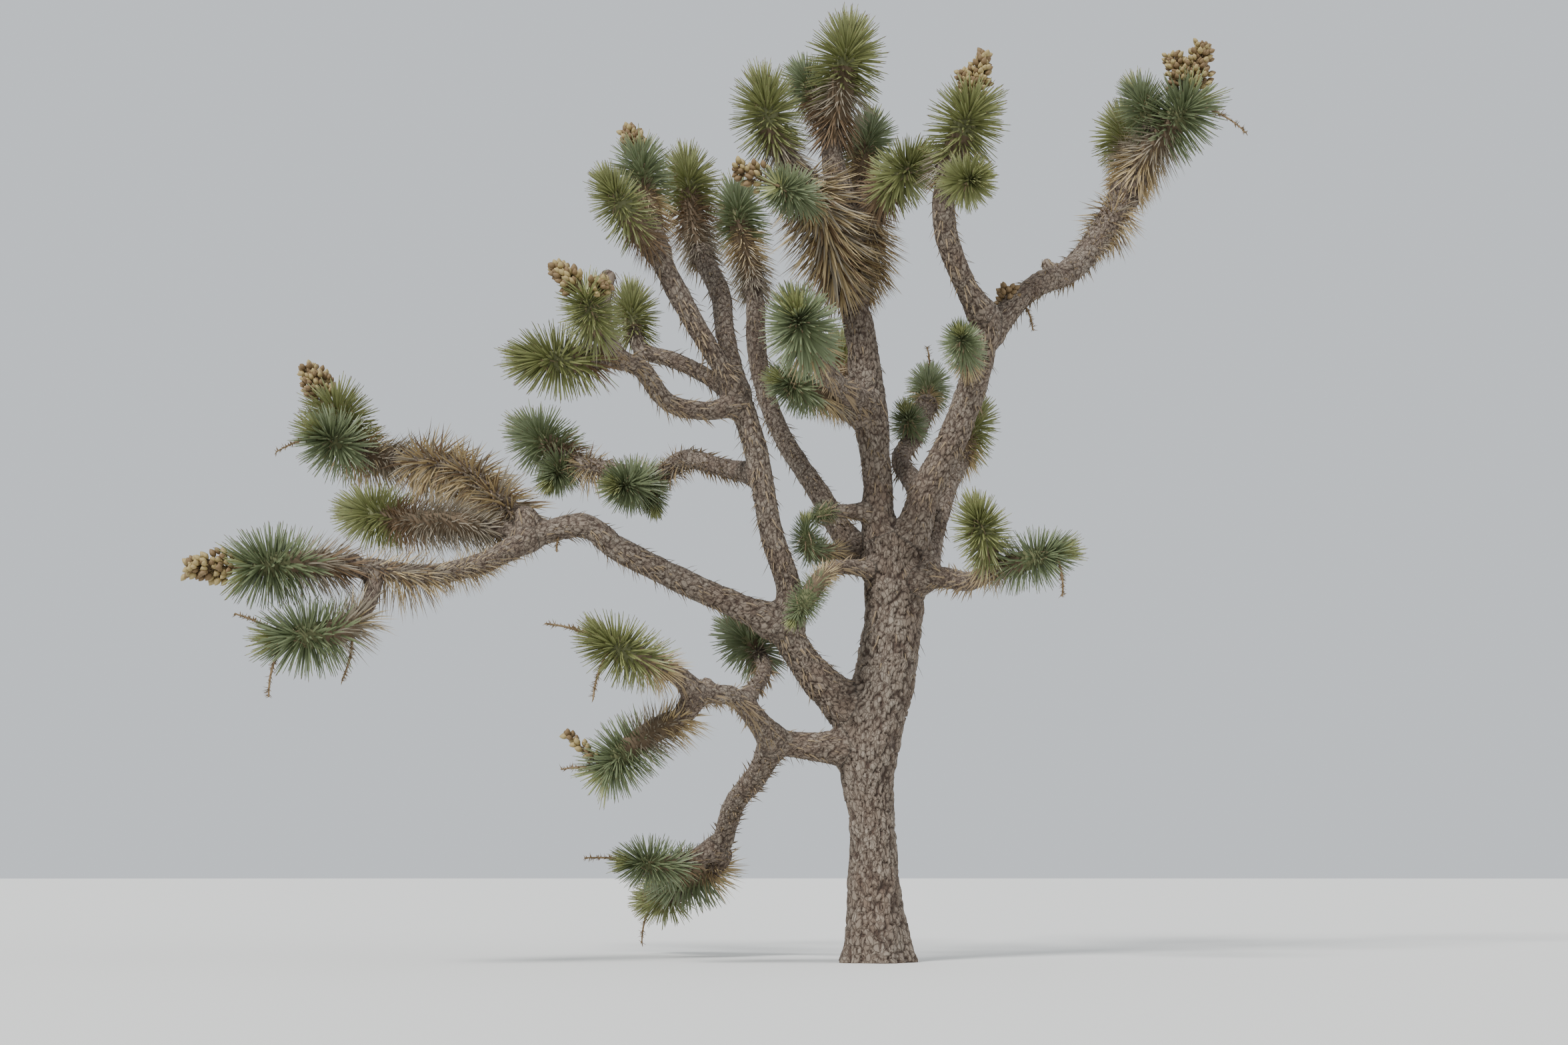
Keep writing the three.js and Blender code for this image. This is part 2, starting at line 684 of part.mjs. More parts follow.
function stalk(root, [length, bearing, climb]) {
  const direction = heading(bearing, climb);
  return spike(root, direction, squareTo(direction), length, STALK_WIDTH, STALK_WIDTH);
}

// A seed capsule on its short stem: a pear with three long edges, pointed at both ends.
function capsule(root, direction, stemLength) {
  const middle = root.clone().addScaledVector(direction, stemLength);
  const corners = [root, middle.clone().addScaledVector(direction, CAPSULE_LENGTH / 2)];
  for (const turn of [0, 120, 240]) {
    const spoke = leaning(direction, turn, 90);
    corners.push(middle.clone().addScaledVector(spoke, CAPSULE_WIDTH / 2));
  }
  const faces = [0, 3, 2, 0, 4, 3, 0, 2, 4, 1, 2, 3, 1, 3, 4, 1, 4, 2];
  return solidOf(corners.flatMap((corner) => corner.toArray()), faces);
}

// A cluster of seed capsules, set round a stalk.
function cluster(root, [length, bearing, climb, width], random) {
  const axis = heading(bearing, climb);
  const made = [stalk(root, [length, bearing, climb])];
  const count = Math.max(FEWEST_CAPSULES, Math.round(length / CAPSULE_SPACING));
  for (let k = 0; k < count; k += 1) {
    const share = (k + 0.5) / count;
    const lean = CAPSULE_LEAN + wobble(random, CAPSULE_WOBBLE);
    const start = root.clone().addScaledVector(axis, length * lerp(...CLUSTER_SPAN, share));
    const twig = (width / 2) * lerp(...CLUSTER_TAPER, share);
    made.push(capsule(start, leaning(axis, k * GOLDEN_ANGLE, lean), twig));
  }
  return made;
}

// The body of a solid that holds most material. Scraps and sealed hollows are left out.
function mainBody(solid) {
  const bodies = solid.decompose();
  bodies.sort((a, b) => b.volume() - a.volume());
  return bodies[0];
}

function near(a, b) {
  const first = a.boundingBox();
  const second = b.boundingBox();
  return [0, 1, 2].every((axis) => first.min[axis] - LEAF_GAP < second.max[axis]
    && second.min[axis] - LEAF_GAP < first.max[axis]);
}

function isClear(piece, others) {
  return others.every((other) => !near(piece, other) || piece.minGap(other, LEAF_GAP) >= LEAF_GAP);
}

function cutClear(solid, cutters) {
  let cut = solid;
  for (const cutter of cutters) {
    if (near(cut, cutter)) {
      cut = cut.subtract(cutter);
    }
  }
  return mainBody(cut);
}

// The trunk spreads into lobes at its foot.
function flareShape(line) {
  return (angle, share) => {
    const height = line.curve.getPoint(share).z;
    const flare = Math.exp(-Math.max(height, 0) / FLARE_HEIGHT);
    const lobe = 1 + FLARE_LOBE_DEPTH * Math.cos(angle * FLARE_LOBES);
    return 1 + flare * (FLARE_SPREAD * lobe - 1);
  };
}

// The trunk starts below the ground and is cut off flat at it.
function trunkSolid({ width, stretches }, extra = 0) {
  const buried = { width, stretches: [[BELOW_GROUND, 0, 90, width], ...stretches] };
  const line = centreLine(new THREE.Vector3(0, 0, -BELOW_GROUND), buried);
  const block = new THREE.BoxGeometry(GROUND_BLOCK, GROUND_BLOCK, GROUND_BLOCK);
  block.translate(0, 0, -GROUND_BLOCK / 2);
  return limbTube(line, extra, flareShape(line)).subtract(solidFrom(block));
}

// Each limb is cut clear of the ones before it, the trunk first.
function growLimbs() {
  const { trunk, ...boughs } = LIMBS;
  const lines = { trunk: centreLine(new THREE.Vector3(0, 0, 0), trunk) };
  const solids = { trunk: mainBody(trunkSolid(trunk)) };
  const cutters = [trunkSolid(trunk, JOINT_GAP)];
  for (const [name, bough] of Object.entries(boughs)) {
    const line = centreLine(lines[bough.from].curve.getPoint(bough.at), bough);
    lines[name] = line;
    solids[name] = cutClear(limbTube(line), cutters);
    cutters.push(limbTube(line, JOINT_GAP));
  }
  return { lines, solids, cutters };
}

// First every mass's stems, so that no leaf can take the room of another mass's stem.
function growStems(limbs) {
  const masses = {};
  const cutters = [...limbs.cutters];
  for (const [name, mass] of Object.entries(MASSES)) {
    const lines = [];
    for (const shoot of mass.shoots) {
      const parent = shoot.on === undefined ? limbs.lines[mass.from] : lines[shoot.on];
      const share = shoot.on === undefined ? mass.at : shoot.at;
      lines.push(centreLine(parent.curve.getPoint(share), shoot));
    }
    const stems = lines.map((line, index) => shootTube(line, mass.shoots[index]));
    masses[name] = { lines, stem: cutClear(wasm.Manifold.union(stems), cutters) };
    cutters.push(...lines.map((line, index) => shootTube(line, mass.shoots[index], JOINT_GAP)));
  }
  return masses;
}

// The leaves, capsules and stalks that a shoot bears, in groups that stay or go together.
function shootGroups(line, shoot, random) {
  const tip = line.curve.getPoint(1);
  const groups = liveLeaves(line, shoot, random).map((piece) => [piece]);
  groups.push(...deadLeaves(line, shoot, random).map((piece) => [piece]));
  if (shoot.thatch) {
    groups.push(...thatchLeaves(line, shoot.thatch, random).map((piece) => [piece]));
  }
  if (shoot.cluster) {
    groups.push(cluster(tip, shoot.cluster, random));
  }
  if (shoot.stalk) {
    groups.push([stalk(tip, shoot.stalk)]);
  }
  return groups;
}

// Then the leaves: one that would touch a limb, another mass's stem or its leaves is skipped.
function growLeaves(limbs, masses) {
  const bodies = { ...limbs.solids };
  const bearing = {};
  for (const [name, limb] of Object.entries(LIMBS)) {
    if (limb.thatch) {
      const leaves = thatchLeaves(limbs.lines[name], limb.thatch, seeded(name));
      bearing[name] = leaves.map((piece) => [piece]);
    }
  }
  for (const [name, mass] of Object.entries(masses)) {
    const random = seeded(name);
    const { shoots } = MASSES[name];
    bodies[name] = mass.stem;
    bearing[name] = shoots.flatMap((shoot, k) => shootGroups(mass.lines[k], shoot, random));
  }
  const taken = [];
  const solids = { ...bodies };
  for (const [name, groups] of Object.entries(bearing)) {
    const neighbours = Object.keys(bodies).filter((other) => other !== name);
    const others = [...neighbours.map((other) => bodies[other]), ...taken];
    const kept = groups.filter((group) => group.every((piece) => isClear(piece, others))).flat();
    solids[name] = mainBody(wasm.Manifold.union([bodies[name], ...kept]).simplify(SLIVER));
    taken.push(...kept);
  }
  return solids;
}

function meshOf(name, solid, look) {
  const { vertProperties, triVerts } = solid.getMesh();
  const geometry = new THREE.BufferGeometry();
  geometry.setAttribute('position', new THREE.Float32BufferAttribute(vertProperties, 3));
  geometry.setIndex(Array.from(triVerts));
  const mesh = new THREE.Mesh(geometry, new THREE.MeshStandardMaterial(look));
  mesh.name = name;
  return mesh;
}

const limbs = growLimbs();
const solids = growLeaves(limbs, growStems(limbs));
const tree = new THREE.Group();
for (const [name, solid] of Object.entries(solids)) {
  tree.add(meshOf(name, solid, name in LIMBS ? BARK : FOLIAGE));
}

export default tree;
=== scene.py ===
import math
import zlib

import bmesh
import bpy
import numpy as np
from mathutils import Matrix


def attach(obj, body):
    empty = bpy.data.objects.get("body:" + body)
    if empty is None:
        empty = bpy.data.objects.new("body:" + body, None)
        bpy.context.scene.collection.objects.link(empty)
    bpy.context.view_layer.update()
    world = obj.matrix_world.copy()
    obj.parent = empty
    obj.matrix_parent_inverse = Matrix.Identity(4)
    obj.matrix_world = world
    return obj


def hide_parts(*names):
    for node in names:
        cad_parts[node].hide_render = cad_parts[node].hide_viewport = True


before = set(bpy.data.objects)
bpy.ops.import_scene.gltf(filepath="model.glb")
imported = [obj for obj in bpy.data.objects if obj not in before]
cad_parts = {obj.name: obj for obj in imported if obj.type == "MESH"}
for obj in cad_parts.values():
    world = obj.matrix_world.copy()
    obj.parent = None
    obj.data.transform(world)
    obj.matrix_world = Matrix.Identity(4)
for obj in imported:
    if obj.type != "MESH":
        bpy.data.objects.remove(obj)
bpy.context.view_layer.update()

MM = 0.001
GOLDEN_ANGLE = 137.508

# How finely a centre line is sampled, and how near an axis is to upright when it counts as upright.
LINE_STEP = 0.012
UPRIGHT = 0.9

# The foot of the trunk, as in the solids: a root flare with lobes, drawn from below the ground.
FLARE_SPREAD = 1.28
FLARE_HEIGHT = 0.26
FLARE_LOBES = 5
FLARE_LOBE_DEPTH = 0.09
BELOW_GROUND = 120

# A bough swells where it leaves its parent. The swelling fades over so many of its radii.
COLLAR_SWELL = 0.3
COLLAR_FADE = 1.1

# The limbs are drawn in millimetres and degrees, as the solids are. Each grows from another, at a
# share of that one's length. A stretch is [length, bearing, climb, width at the end]: the bearing
# from +X towards +Y and the climb above the level. Thatch is [start, end, count, length] of the dead
# leaves that hang from a bough, where the start and the end are shares of its length.
LIMBS = {
  "trunk": {
    "width": 350,
    "stretches": [[360, 180, 89, 290], [530, 180, 88, 270], [370, 180, 88, 355],
      [490, 15, 76, 360], [350, 22, 82, 340], [290, 171, 89, 360]],
  },
  "big_left_bough": {
    "from": "trunk", "at": 0.55, "width": 255,
    "stretches": [[240, -169, 34, 230], [280, -160, 44, 190], [290, -153, 53, 180]],
  },
  "long_left_bough": {
    "from": "big_left_bough", "at": 1, "width": 175,
    "stretches": [[230, -164, 22, 155], [480, -169, 23, 145], [370, -170, 26, 140],
      [220, -174, 35, 140], [320, 171, -8, 140]],
  },
  "left_upper_arm": {
    "from": "long_left_bough", "at": 1, "width": 135, "thatch": [0.12, 0.98, 18, 260],
    "stretches": [[440, 136, 36, 120], [470, 132, 30, 125], [540, 138, 14, 120]],
  },
  "left_lower_arm": {
    "from": "long_left_bough", "at": 1, "width": 135, "thatch": [0.2, 0.98, 12, 200],
    "stretches": [[400, -134, -29, 115], [400, -140, -16, 115], [400, -149, 3, 105]],
  },
  "left_fork_stub": {
    "from": "long_left_bough", "at": 1, "width": 135,
    "stretches": [[190, -148, 62, 120]],
  },
  "upright_left_bough": {
    "from": "big_left_bough", "at": 0.95, "width": 175,
    "stretches": [[230, -57, 80, 145], [370, -137, 67, 140], [440, -128, 73, 135],
      [390, -155, 72, 140]],
  },
  "back_left_bough": {
    "from": "upright_left_bough", "at": 0.7, "width": 125, "thatch": [0.35, 0.98, 8, 170],
    "stretches": [[430, 127, 15, 115], [440, 124, 15, 115], [320, 126, -11, 120],
      [530, 138, 13, 115], [290, 135, 14, 115]],
  },
  "crooked_left_bough": {
    "from": "upright_left_bough", "at": 0.98, "width": 125,
    "stretches": [[260, -142, -19, 105], [270, -146, 4, 105], [280, -138, 39, 105],
      [210, -151, 5, 100]],
  },
  "upper_left_bough": {
    "from": "upright_left_bough", "at": 0.99, "width": 125,
    "stretches": [[270, -129, 43, 110], [440, -146, 53, 125], [290, -158, 62, 120]],
  },
  "second_left_bough": {
    "from": "upright_left_bough", "at": 0.99, "width": 120,
    "stretches": [[470, 114, 62, 110], [430, 101, 55, 125], [360, 118, 49, 125]],
  },
  "inner_left_bough": {
    "from": "trunk", "at": 0.96, "width": 190,
    "stretches": [[460, 137, 36, 150], [410, 121, 45, 135], [650, 126, 48, 120],
      [560, 120, 59, 125], [610, 100, 71, 125]],
  },
  "central_bough": {
    "from": "trunk", "at": 0.99, "width": 225,
    "stretches": [[290, -173, 73, 180], [240, -104, 85, 165], [420, -156, 84, 210],
      [420, -179, 83, 190], [290, -180, 81, 165]],
  },
  "right_bough": {
    "from": "trunk", "at": 0.99, "width": 225,
    "stretches": [[250, -22, 57, 185], [250, -32, 69, 175], [430, -28, 60, 175],
      [340, -44, 65, 170], [340, -58, 70, 160]],
  },
  "upper_right_bough": {
    "from": "right_bough", "at": 0.99, "width": 150,
    "stretches": [[260, -130, 38, 125], [330, -130, 54, 135], [210, -103, 61, 130],
      [150, -72, 69, 125]],
  },
  "far_right_bough": {
    "from": "right_bough", "at": 0.92, "width": 150, "thatch": [0.6, 0.98, 10, 230],
    "stretches": [[490, 30, 45, 135], [530, 48, 27, 150], [360, 48, 42, 160], [480, 49, 46, 170]],
  },
  "back_right_bough": {
    "from": "right_bough", "at": 0.38, "width": 130,
    "stretches": [[550, 105, 33, 115], [380, 70, 34, 120], [360, 70, 42, 120]],
  },
  "low_right_bough": {
    "from": "trunk", "at": 0.9, "width": 190,
    "stretches": [[310, -41, 10, 120], [400, -62, -10, 110], [230, -64, 10, 110]],
  },
  "low_left_bough": {
    "from": "trunk", "at": 0.5, "width": 205,
    "stretches": [[330, -159, -2, 155], [270, -162, 6, 150]],
  },
  "low_left_front_bough": {
    "from": "low_left_bough", "at": 0.99, "width": 140,
    "stretches": [[290, -112, 22, 125], [300, -117, 22, 115], [320, -128, -1, 110]],
  },
  "low_left_back_bough": {
    "from": "low_left_bough", "at": 0.99, "width": 140,
    "stretches": [[370, 110, -31, 130], [360, 114, -24, 130], [450, 106, -38, 125]],
  },
}

# The masses of leaves. Each has one stem that grows from its bough, and may fork: a later shoot
# grows from the shoot of its own mass that "on" counts. Leaves cover the end of a shoot, past the
# share "bare". "reach" is a leaf's length. A cluster of capsules, or an old flower stalk, is a
# stretch of its own from the shoot's end, with the cluster's width in place of the limb's.
MASSES = {
  "left_top_leaves": {
    "from": "left_upper_arm", "at": 1,
    "shoots": [
      { "width": 120, "stretches": [[230, 162, 7, 120], [230, 163, 31, 120], [230, 167, 66, 105]],
        "bare": 0.1, "reach": 250, "cluster": [330, 167, 54, 230] },
      { "on": 0, "at": 0.38, "width": 100, "stretches": [[240, -131, 8, 100], [140, -131, 20, 90]],
        "bare": 0.4, "reach": 240 },
    ],
  },
  "left_middle_leaves": {
    "from": "long_left_bough", "at": 1,
    "shoots": [
      { "width": 110, "stretches": [[450, 174, 9, 95], [410, 150, 8, 90], [350, 154, 12, 90]],
        "bare": 0.22, "reach": 215 },
    ],
  },
  "left_front_leaves": {
    "from": "left_lower_arm", "at": 1,
    "shoots": [
      { "width": 105, "stretches": [[220, -154, -1, 105], [220, -153, -5, 95], [160, -162, -8, 85]],
        "bare": 0.2, "reach": 230, "cluster": [320, -163, -2, 200] },
    ],
  },
  "left_hanging_leaves": {
    "from": "left_lower_arm", "at": 0.93,
    "shoots": [
      { "width": 95, "stretches": [[230, -95, -67, 80], [230, -143, -43, 80], [290, -160, -10, 80]],
        "bare": 0.5, "reach": 225, "stalk": [330, -150, -62] },
    ],
  },
  "back_left_leaves": {
    "from": "back_left_bough", "at": 1,
    "shoots": [
      { "width": 115, "stretches": [[200, 143, 33, 115], [240, 149, 36, 105]],
        "bare": 0.15, "reach": 240 },
      { "on": 0, "at": 0.15, "width": 90, "stretches": [[210, -121, -44, 85]],
        "bare": 0.4, "reach": 175 },
    ],
  },
  "back_left_lower_leaves": {
    "from": "back_left_bough", "at": 0.6,
    "shoots": [
      { "width": 110, "stretches": [[250, -118, -20, 100], [170, -120, -11, 90]],
        "bare": 0.3, "reach": 195 },
      { "on": 0, "at": 0.2, "width": 95, "stretches": [[110, -80, -50, 90], [90, -60, -60, 80]],
        "bare": 0.3, "reach": 140 },
    ],
  },
  "crooked_left_leaves": {
    "from": "crooked_left_bough", "at": 1,
    "shoots": [
      { "width": 100, "stretches": [[230, -153, -8, 95], [170, -163, -2, 90]],
        "bare": 0.2, "reach": 225 },
    ],
  },
  "crooked_left_top_leaves": {
    "from": "crooked_left_bough", "at": 0.88,
    "shoots": [
      { "width": 90, "stretches": [[230, -112, 20, 90], [170, -109, 22, 90], [160, -106, 49, 80]],
        "bare": 0.45, "reach": 180, "cluster": [240, 172, 44, 150] },
    ],
  },
  "loop_leaves": {
    "from": "upright_left_bough", "at": 0.99,
    "shoots": [
      { "width": 100, "stretches": [[300, 163, 36, 95], [210, 155, 28, 95], [210, 165, 21, 95],
        [180, 142, 63, 95], [180, 104, 73, 90]],
        "bare": 0.75, "reach": 180 },
    ],
  },
  "upper_left_leaves": {
    "from": "upper_left_bough", "at": 1,
    "shoots": [
      { "width": 120, "stretches": [[180, -138, 36, 115], [190, -135, 42, 105], [110, -138, 48, 90]],
        "bare": 0.1, "reach": 215 },
    ],
  },
  "upper_left_top_leaves": {
    "from": "upper_left_bough", "at": 0.96,
    "shoots": [
      { "width": 110, "stretches": [[320, 110, 55, 110], [300, 114, 63, 105], [190, 124, 72, 95]],
        "bare": 0.35, "reach": 200, "cluster": [210, 150, 66, 170] },
    ],
  },
  "second_left_leaves": {
    "from": "second_left_bough", "at": 1,
    "shoots": [
      { "width": 125, "stretches": [[230, 120, 61, 125], [290, 111, 69, 120], [210, 117, 73, 105]],
        "bare": 0.1, "reach": 220 },
    ],
  },
  "inner_left_leaves": {
    "from": "inner_left_bough", "at": 1,
    "shoots": [
      { "width": 125, "stretches": [[210, 124, 73, 125], [290, 145, 73, 130], [240, 117, 76, 110]],
        "bare": 0.1, "reach": 230 },
    ],
  },
  "front_ball_leaves": {
    "from": "central_bough", "at": 0.62,
    "shoots": [
      { "width": 140, "stretches": [[490, -112, 0, 125], [530, -107, 9, 115], [230, -112, 21, 105],
        [160, -102, 22, 90]],
        "bare": 0.62, "reach": 230 },
    ],
  },
  "front_bud_leaves": {
    "from": "central_bough", "at": 0.58,
    "shoots": [
      { "width": 140, "stretches": [[420, -133, 9, 135], [250, -128, 4, 115], [140, -133, 7, 95]],
        "bare": 0.25, "reach": 170 },
    ],
  },
  "back_middle_leaves": {
    "from": "central_bough", "at": 0.54,
    "shoots": [
      { "width": 130, "stretches": [[570, 97, 29, 120], [500, 101, 35, 115], [390, 99, 40, 105]],
        "bare": 0.6, "reach": 200 },
    ],
  },
  "hook_leaves": {
    "from": "inner_left_bough", "at": 0.13,
    "shoots": [
      { "width": 115, "stretches": [[260, -132, -9, 95], [230, -132, -1, 95], [140, -102, 58, 80]],
        "bare": 0.3, "reach": 140 },
    ],
  },
  "link_leaves": {
    "from": "central_bough", "at": 0.24,
    "shoots": [
      { "width": 105, "stretches": [[260, -149, -4, 85], [120, -154, -9, 85], [90, -142, -25, 80]],
        "bare": 0.5, "reach": 135 },
    ],
  },
  "under_fork_leaves": {
    "from": "trunk", "at": 0.96,
    "shoots": [
      { "width": 115, "stretches": [[400, -142, 1, 85], [260, -122, -22, 80], [320, -134, -49, 75]],
        "bare": 0.55, "reach": 160 },
    ],
  },
  "top_leaves": {
    "from": "central_bough", "at": 1,
    "shoots": [
      { "width": 165, "stretches": [[290, 126, 85, 190], [360, -158, 81, 165], [310, 180, 78, 135],
        [390, 0, 82, 125], [330, 0, 81, 110]],
        "bare": 0.68, "reach": 255, "thatch": [0.05, 0.3, 12, 250] },
      { "on": 0, "at": 0.64, "width": 110, "stretches": [[310, 114, 58, 100], [370, 118, 52, 95]],
        "bare": 0.35, "reach": 190 },
    ],
  },
  "top_left_leaves": {
    "from": "central_bough", "at": 1,
    "shoots": [
      { "width": 145, "stretches": [[310, -131, 50, 165], [400, -127, 62, 155], [230, -151, 44, 140],
        [210, -149, 51, 120], [230, -131, 72, 95]],
        "bare": 0.66, "reach": 230, "thatch": [0.1, 0.5, 14, 260] },
      { "on": 0, "at": 0.33, "width": 105, "stretches": [[270, -115, 4, 95], [250, -125, 2, 85]],
        "bare": 0.15, "reach": 170, "cluster": [280, 175, 25, 200] },
    ],
  },
  "top_right_leaves": {
    "from": "central_bough", "at": 1,
    "shoots": [
      { "width": 145, "stretches": [[340, 50, 67, 165], [270, -59, 77, 150], [300, -66, 22, 120],
        [240, -57, 13, 105]],
        "bare": 0.58, "reach": 215, "thatch": [0.08, 0.5, 12, 230] },
      { "on": 0, "at": 0.44, "width": 115, "stretches": [[410, 101, 56, 110], [460, 73, 63, 105]],
        "bare": 0.45, "reach": 200 },
    ],
  },
  "upper_right_leaves": {
    "from": "upper_right_bough", "at": 1,
    "shoots": [
      { "width": 125, "stretches": [[110, -54, 56, 125], [170, -40, 62, 110], [140, -24, 69, 95]],
        "bare": 0.1, "reach": 235, "cluster": [310, -20, 76, 160] },
      { "on": 0, "at": 0.16, "width": 100, "stretches": [[240, -74, -39, 90], [160, -69, -10, 85]],
        "bare": 0.4, "reach": 175 },
    ],
  },
  "far_right_inner_leaves": {
    "from": "far_right_bough", "at": 1,
    "shoots": [
      { "width": 165, "stretches": [[340, 66, 50, 150], [330, 84, 53, 135], [190, 95, 59, 110]],
        "bare": 0.2, "reach": 235 },
    ],
  },
  "far_right_leaves": {
    "from": "far_right_bough", "at": 1,
    "shoots": [
      { "width": 165, "stretches": [[320, -19, 60, 150], [250, -18, 49, 130], [200, -21, 46, 105]],
        "bare": 0.2, "reach": 265, "cluster": [380, -35, 76, 200],
        "stalk": [430, -22, -24] },
      { "on": 0, "at": 0.5, "width": 115, "stretches": [[200, 150, 72, 105], [150, 160, 68, 90]],
        "bare": 0.3, "reach": 200 },
    ],
  },
  "back_right_leaves": {
    "from": "back_right_bough", "at": 1,
    "shoots": [
      { "width": 120, "stretches": [[190, 80, 39, 115], [210, 83, 43, 100]],
        "bare": 0.1, "reach": 165 },
    ],
  },
  "back_right_lower_leaves": {
    "from": "back_right_bough", "at": 0.64,
    "shoots": [
      { "width": 110, "stretches": [[140, -101, 18, 100], [120, -105, 33, 85]],
        "bare": 0.35, "reach": 140 },
    ],
  },
  "right_side_leaves": {
    "from": "right_bough", "at": 0.78,
    "shoots": [
      { "width": 110, "stretches": [[280, -105, 15, 100], [260, -102, 14, 85]],
        "bare": 0.35, "reach": 170 },
    ],
  },
  "right_middle_leaves": {
    "from": "low_right_bough", "at": 0.27,
    "shoots": [
      { "width": 120, "stretches": [[450, 75, 46, 105], [530, 72, 45, 110], [370, 65, 42, 110],
        [330, 60, 59, 95]],
        "bare": 0.72, "reach": 185 },
    ],
  },
  "low_right_front_leaves": {
    "from": "low_right_bough", "at": 1,
    "shoots": [
      { "width": 110, "stretches": [[170, -103, 43, 105], [210, -117, 46, 80]],
        "bare": 0.1, "reach": 180 },
    ],
  },
  "low_right_leaves": {
    "from": "low_right_bough", "at": 0.98,
    "shoots": [
      { "width": 110, "stretches": [[200, -34, 9, 105], [210, -23, 11, 85]],
        "bare": 0.2, "reach": 185, "stalk": [260, -50, -62] },
    ],
  },
  "low_left_front_leaves": {
    "from": "low_left_front_bough", "at": 1,
    "shoots": [
      { "width": 110, "stretches": [[170, -132, 32, 105], [180, -141, 17, 100], [190, -144, 18, 95],
        [140, -157, 26, 80]],
        "bare": 0.45, "reach": 195, "stalk": [330, -165, 22] },
    ],
  },
  "low_left_hanging_leaves": {
    "from": "low_left_front_bough", "at": 1,
    "shoots": [
      { "width": 110, "stretches": [[160, 151, -49, 105], [160, 161, -25, 105], [200, 162, -32, 95],
        [170, 171, -44, 80]],
        "bare": 0.25, "reach": 205, "cluster": [330, 172, 42, 90] },
    ],
  },
  "low_left_inner_leaves": {
    "from": "low_left_front_bough", "at": 0.56,
    "shoots": [
      { "width": 100, "stretches": [[480, 74, 26, 85], [240, 97, 30, 90], [290, 124, 37, 80]],
        "bare": 0.68, "reach": 175 },
    ],
  },
  "low_left_back_leaves": {
    "from": "low_left_back_bough", "at": 1,
    "shoots": [
      { "width": 130, "stretches": [[170, 122, -47, 125], [190, 147, -15, 120], [130, 158, -10, 100]],
        "bare": 0.25, "reach": 225 },
      { "on": 0, "at": 0.38, "width": 110, "stretches": [[420, 122, -20, 105], [190, 148, -11, 85]],
        "bare": 0.6, "reach": 190, "stalk": [290, 160, -60] },
    ],
  },
  "low_left_side_leaves": {
    "from": "low_left_back_bough", "at": 0.97,
    "shoots": [
      { "width": 125, "stretches": [[340, -147, -20, 105], [290, -149, 2, 90]],
        "bare": 0.5, "reach": 185, "stalk": [300, 178, 12] },
    ],
  },
}

# The boughs whose bark is one piece. All the bark is first made as one skin, so no seam shows.
BARK_PIECES = {
    "trunk_bark": ["trunk", "big_left_bough", "low_left_bough", "low_left_front_bough",
        "low_left_back_bough"],
    "left_boughs_bark": ["long_left_bough", "left_upper_arm", "left_lower_arm", "left_fork_stub",
        "upright_left_bough", "back_left_bough", "crooked_left_bough", "upper_left_bough",
        "second_left_bough"],
    "right_boughs_bark": ["inner_left_bough", "central_bough", "right_bough", "upper_right_bough",
        "far_right_bough", "back_right_bough", "low_right_bough"],
}

# The skin is drawn on a coarse grid, which rounds the hollows at the forks, and then on a fine one:
# the size of each grid, and how often it is smoothed.
SKIN_GRIDS = ((0.016, 4), (0.0114, 2))
SKIN_SLACK = 0.002
RING_STEP = 0.02
LIMB_SIDES = 28
END_CUT = 0.98

# The stems inside the heads: their least radius as a share of a leaf's length, and how thin they are
# at the tip and at the foot.
HEART_SIDES = 12
HEART_STEP = 0.03
HEART_SHARE = 0.33
HEART_TIP = 0.4
HEART_FOOT = 0.55

# Bark: how wide and high its plates are, how deep the cracks between them, and its larger lumps. Thin
# limbs have less relief than the trunk, but never less than a share of it.
TRUNK_PLATE = (0.046, 0.096)
BOUGH_PLATE = (0.034, 0.050)
LEAST_PLATES = 4
CRACK_DEPTH = 0.015
CRACK_EDGE = (0.02, 0.2)
LUMP_HEIGHT = 0.011
CRUMB_HEIGHT = 0.004
PLATE_MEAN = 0.8
PLATE_UNEVEN = 0.3
FULL_RELIEF_RADIUS = 0.15
LEAST_RELIEF = 0.35
SEAM_FADE = 0.012
OWNER_REACH = 0.2

# Noise in layers: the strength of each, its size, and the word that seeds it.
SWAY = ((0.6, 0.09, "sway"), (0.35, 0.03, "small sway"))
DRIFT = ((0.5, 0.1, "drift"), (0.3, 0.035, "small drift"))
LUMPS = ((1, 0.16, "lumps"), (0.5, 0.06, "knobs"))
CRUMBS = ((1, 0.024, "crumbs"),)

# The tables that noise is read from, and the large numbers that scatter its cells over them.
TABLE_SIZE = 4096
CELL_SCATTER = (73856093, 19349663, 83492791)
PLATE_SCATTER = (374761393, 668265263)

# Further off than anything on the plant.
FAR = 9.0

# A head of leaves. Its ball of live leaves fills the last stretch of its shoot, and dead leaves cover
# the rest of the leafy part. Leans are degrees from the way that the shoot points.
BALL_DEPTH = 0.13
BALL_CROWDING = 0.7
BALL_LEAVES = 310
BALL_LEAN = (14, 104)
CLUSTER_LEAN = 38
BUD_LEAVES = 34
BUD_LEAN = 26
BUD_LENGTH = (0.6, 0.95)
BUD_DEPTH = 0.01
SKIRT_PER_METRE = 1150
SKIRT_LEAN = (99, 136)
SKIRT_DROOP = 0.13
LEAN_WOBBLE = 9
LENGTH_WOBBLE = 0.13
ROLL_WOBBLE = 30

# How deep below the tip the live leaves turn to dead ones, and those to older ones.
YOUNG_DEPTH = 0.022
LIVE_DEPTH = (0.2, 0.3)
STRAW_DEPTH = (0.32, 0.5)

